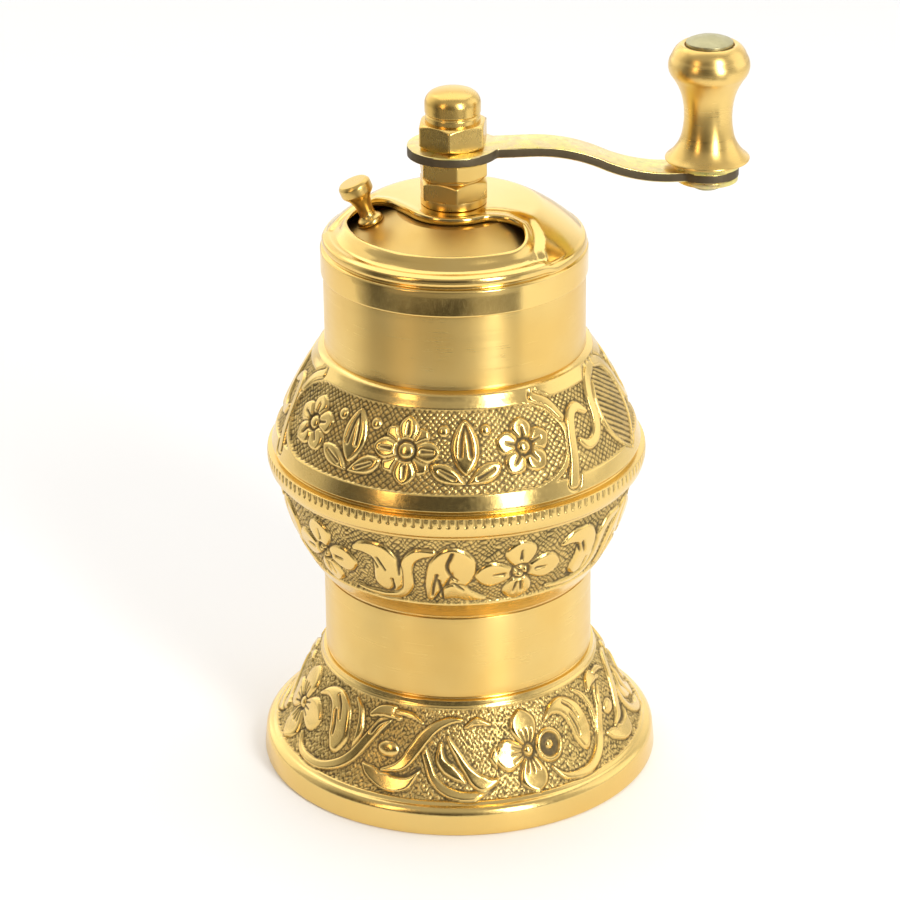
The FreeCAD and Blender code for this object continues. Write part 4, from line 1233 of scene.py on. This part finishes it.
def shutter_knob():
    """A spool riveted through the shutter's sloping flank."""
    bend_r, edge_r, bend_z, edge_z = 9.0, 17.6, 94.4, 90.95
    knob_r, knob_az = 13.0, 179.0
    slope = math.atan((bend_z - edge_z) / (edge_r - bend_r))
    z = bend_z - (knob_r - bend_r) * math.tan(slope)
    place = (Matrix.Rotation(math.radians(knob_az), 4, "Z") @ Matrix.Translation((knob_r, 0, z))
             @ Matrix.Rotation(slope, 4, "Y"))
    rows = outline([
        (0.0, -1.38), (1.2, -1.38), (1.6, -0.88), (0.9, -0.88), (0.9, 0.02), (2.0, 0.02),
        ((2.1, 0.5), (1.6, 1.1)), (1.3, 1.5), ((1.35, 3.2), (1.9, 4.7)), (2.3, 5.1), (2.6, 5.5),
        (2.6, 6.9), (2.2, 7.4), (0.0, 7.4),
    ], soft=0.24, gap=0.7)
    fitting(lathe("shutter_spool", on_axis(rows), 96, place), "shutter", "shutter_knob")


def return_spring():
    """A coil round the shaft. Its lower end rides on the shaft."""
    low, high = node_mm("return_spring")
    wire_r, turns, travel = 0.4, 5, 0.5
    mean_r = high[0] - wire_r
    length = high[2] - low[2]
    rise = length - 2 * wire_r
    steps = 64 * turns
    around = 2 * math.pi * np.arange(16) / 16
    rings = []
    for k in [0] + list(range(steps + 1)) + [steps]:
        # the first and last rings are points, which close the wire's ends
        r = wire_r if 0 < len(rings) < steps + 2 else 0.0
        turn = 2 * math.pi * turns * k / steps
        out = np.array([math.cos(turn), math.sin(turn), 0.0])
        along = np.array([-math.sin(turn), math.cos(turn), rise / (2 * math.pi * turns * mean_r)])
        up = np.cross(along / np.linalg.norm(along), out)
        centre = out * mean_r + np.array([0, 0, low[2] + wire_r + rise * k / steps])
        rings.append(centre + r * (np.cos(around)[:, None] * out + np.sin(around)[:, None] * up))
    points = np.concatenate(rings)
    points[:, 2] = np.clip(points[:, 2], low[2], high[2])
    made = mesh_object("spring_coil", points, grid_faces(len(rings), 16, False))
    merge_close(made)
    dress(made, "spring", "shaft", ["return_spring"])
    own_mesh(made)


cup_foot()
cup_wall()
hopper_bowl()
hopper_shoulder()
hopper_neck()
lid()
hexagons()
handle()
arm()
shutter_knob()
return_spring()

for material, nodes in {
    "inside": ("base_floor", "coupling_sleeve"),
    "burr": ("burr_ring", "inner_burr"),
    "bar": ("burr_ring_screws", "shaft_bridge", "spring_top_washer", "drive_shaft", "burr_washer", "burr_nut",
            "spring_bottom_washer"),
    "fitting": ("bridge_rivets", "bush_lock_nut", "thrust_washer"),
    "spring": ("shutter_wave_washer",),
    "shutter": ("shutter_plate",),
}.items():
    for node in nodes:
        for holder in frame["nodes"][node].material_slots:
            holder.material = M[material]


# ---- stage, light and camera -------------------------------------------------------------------
FACE_AZ = -95.0          # azimuth of the camera's side of the mill
camera_frame = Matrix.Rotation(math.radians(FACE_AZ + 90), 4, "Z")


def floor_material(name, shade, glow):
    n = new_material(name)
    grain = n.noise(6, 2, 0.5)
    light = (shade, shade, shade * 0.995)
    dark = tuple(c * 0.97 for c in light)
    colour = n.mix(n.span(grain, 0.3, 0.7, 0.0, 1.0), dark, light)
    shader = n.finish(colour, n.span(grain, 0.3, 0.7, 0.55, 0.65), metallic=0.0)
    shader.inputs["Emission Color"].default_value = (1, 0.995, 0.985, 1)
    shader.inputs["Emission Strength"].default_value = glow
    return n.owner


def floor():
    """A pale table. A gap in it in front, and beyond the gap a grey strip that is painted shade for the dim
    floor there, let the upright walls of the lid reflect the dim room.
    """
    near, far, end = 0.18, 0.262, 3.0       # metres from the mill's axis
    left, right = -76.0, 56.0               # degrees from the camera's side
    left_far, left_strip = -94.0, -58.0

    def spot(r, azimuth):
        a = math.radians(azimuth - 90)
        return camera_frame @ Vector((r * math.cos(a), r * math.sin(a), 0))

    table = [spot(near, a) for a in np.linspace(left, right, 34)]
    table += [spot(end, a) for a in (right, 120, 180, -130, left_far)] + [spot(far, left_far)]
    strip = [spot(far, a) for a in np.linspace(left_strip, right, 30)]
    strip += [spot(end, a) for a in np.linspace(right, left_strip, 30)]
    # the grey strip in front is painted shade: a dark sheet in place of the dimly lit floor, seen in the
    # metal's reflections
    pieces = (
        ("floor", table, floor_material("pale_floor", 0.93, 0.06)),
        ("floor_front_painted_shade", strip, floor_material("grey_floor_painted_shade", 0.3, 0.0)),
    )
    for name, points, material in pieces:
        mesh = bpy.data.meshes.new(name)
        mesh.from_pydata(points, [], [tuple(range(len(points)))])
        made = bpy.data.objects.new(name, mesh)
        bpy.context.scene.collection.objects.link(made)
        mesh.materials.append(material)


def softbox(name, azimuth, elevation, distance, width, height, power, colour=(1, 1, 1)):
    """An area light that faces the mill's middle. Azimuth is from the camera's side, to the right."""
    data = bpy.data.lights.new(name, "AREA")
    data.shape = "RECTANGLE"
    data.size, data.size_y = width, height
    data.energy = power
    data.color = colour
    light = bpy.data.objects.new(name, data)
    a = math.radians(FACE_AZ + azimuth)
    e = math.radians(elevation)
    middle = Vector((0, 0, 0.06))
    way = Vector((math.cos(a) * math.cos(e), math.sin(a) * math.cos(e), math.sin(e)))
    light.location = middle + way * distance
    light.rotation_euler = (-way).to_track_quat("-Z", "Y").to_euler()
    bpy.context.scene.collection.objects.link(light)


def world():
    """A bright room with a darker gap behind the camera, where the photographer stands."""
    made = bpy.data.worlds.new("studio")
    bpy.context.scene.world = made
    n = Nodes(made, "Generated")
    turn = n.new("Mapping")
    turn.inputs["Rotation"].default_value = (0, 0, math.radians(-FACE_AZ))
    n.link(n.place, turn.inputs["Vector"])
    around = n.new("TexGradient")
    around.gradient_type = "RADIAL"
    n.link(turn.outputs[0], around.inputs["Vector"])
    # brightness by azimuth from the camera's side, to the right
    stops = [
        (-180, 1.6), (-150, 1.35), (-125, 0.7), (-92, 0.7), (-82, 0.35), (-74, 0.13), (-45, 0.09), (8, 0.07),
        (20, 0.3), (52, 0.3), (68, 0.75), (130, 0.9), (150, 1.35), (180, 1.6),
    ]
    colours = [((azimuth + 180) / 360, (value, value * 0.99, value * 0.97)) for azimuth, value in stops]
    walls = n.ramp(around.outputs["Fac"], colours, "LINEAR")
    # the gap closes overhead
    parts = n.new("SeparateXYZ")
    n.link(n.place, parts.inputs[0])
    above = n.span(parts.outputs["Z"], 0.38, 0.78, 0, 1)
    back = n.new("Background")
    n.link(n.mix(above, walls, (0.56, 0.55, 0.54)), back.inputs["Color"])
    back.inputs["Strength"].default_value = 0.95
    n.link(back.outputs[0], n.new("OutputWorld").inputs["Surface"])


def camera():
    """A long lens, 59 cm from the mill's foot, that looks down at it and leans a little."""
    data = bpy.data.cameras.new("camera")
    data.lens = 140.0
    data.sensor_width = 36.0
    data.clip_start = 0.01
    made = bpy.data.objects.new("camera", data)
    bpy.context.scene.collection.objects.link(made)
    pitch = 24.493
    roll = -0.677
    place = Matrix.Translation((-1.04 * MM, -514.9 * MM, 287.57 * MM))
    look = Matrix.Rotation(math.radians(90 - pitch), 4, "X") @ Matrix.Rotation(math.radians(roll), 4, "Z")
    made.matrix_world = camera_frame @ place @ look
    bpy.context.scene.camera = made


floor()
world()
softbox("key", 33, 24, 0.7, 0.13, 0.5, 3.3)
softbox("warm", -42, 24, 0.7, 0.12, 0.4, 0.7, (1.0, 0.72, 0.42))
softbox("top", 180, 66, 0.62, 0.8, 0.5, 1.5)
softbox("left", -128, 25, 0.8, 0.6, 0.7, 0.8)
softbox("right", 100, 25, 0.8, 0.6, 0.7, 0.9)
camera()
bpy.context.scene.view_settings.view_transform = "Standard"
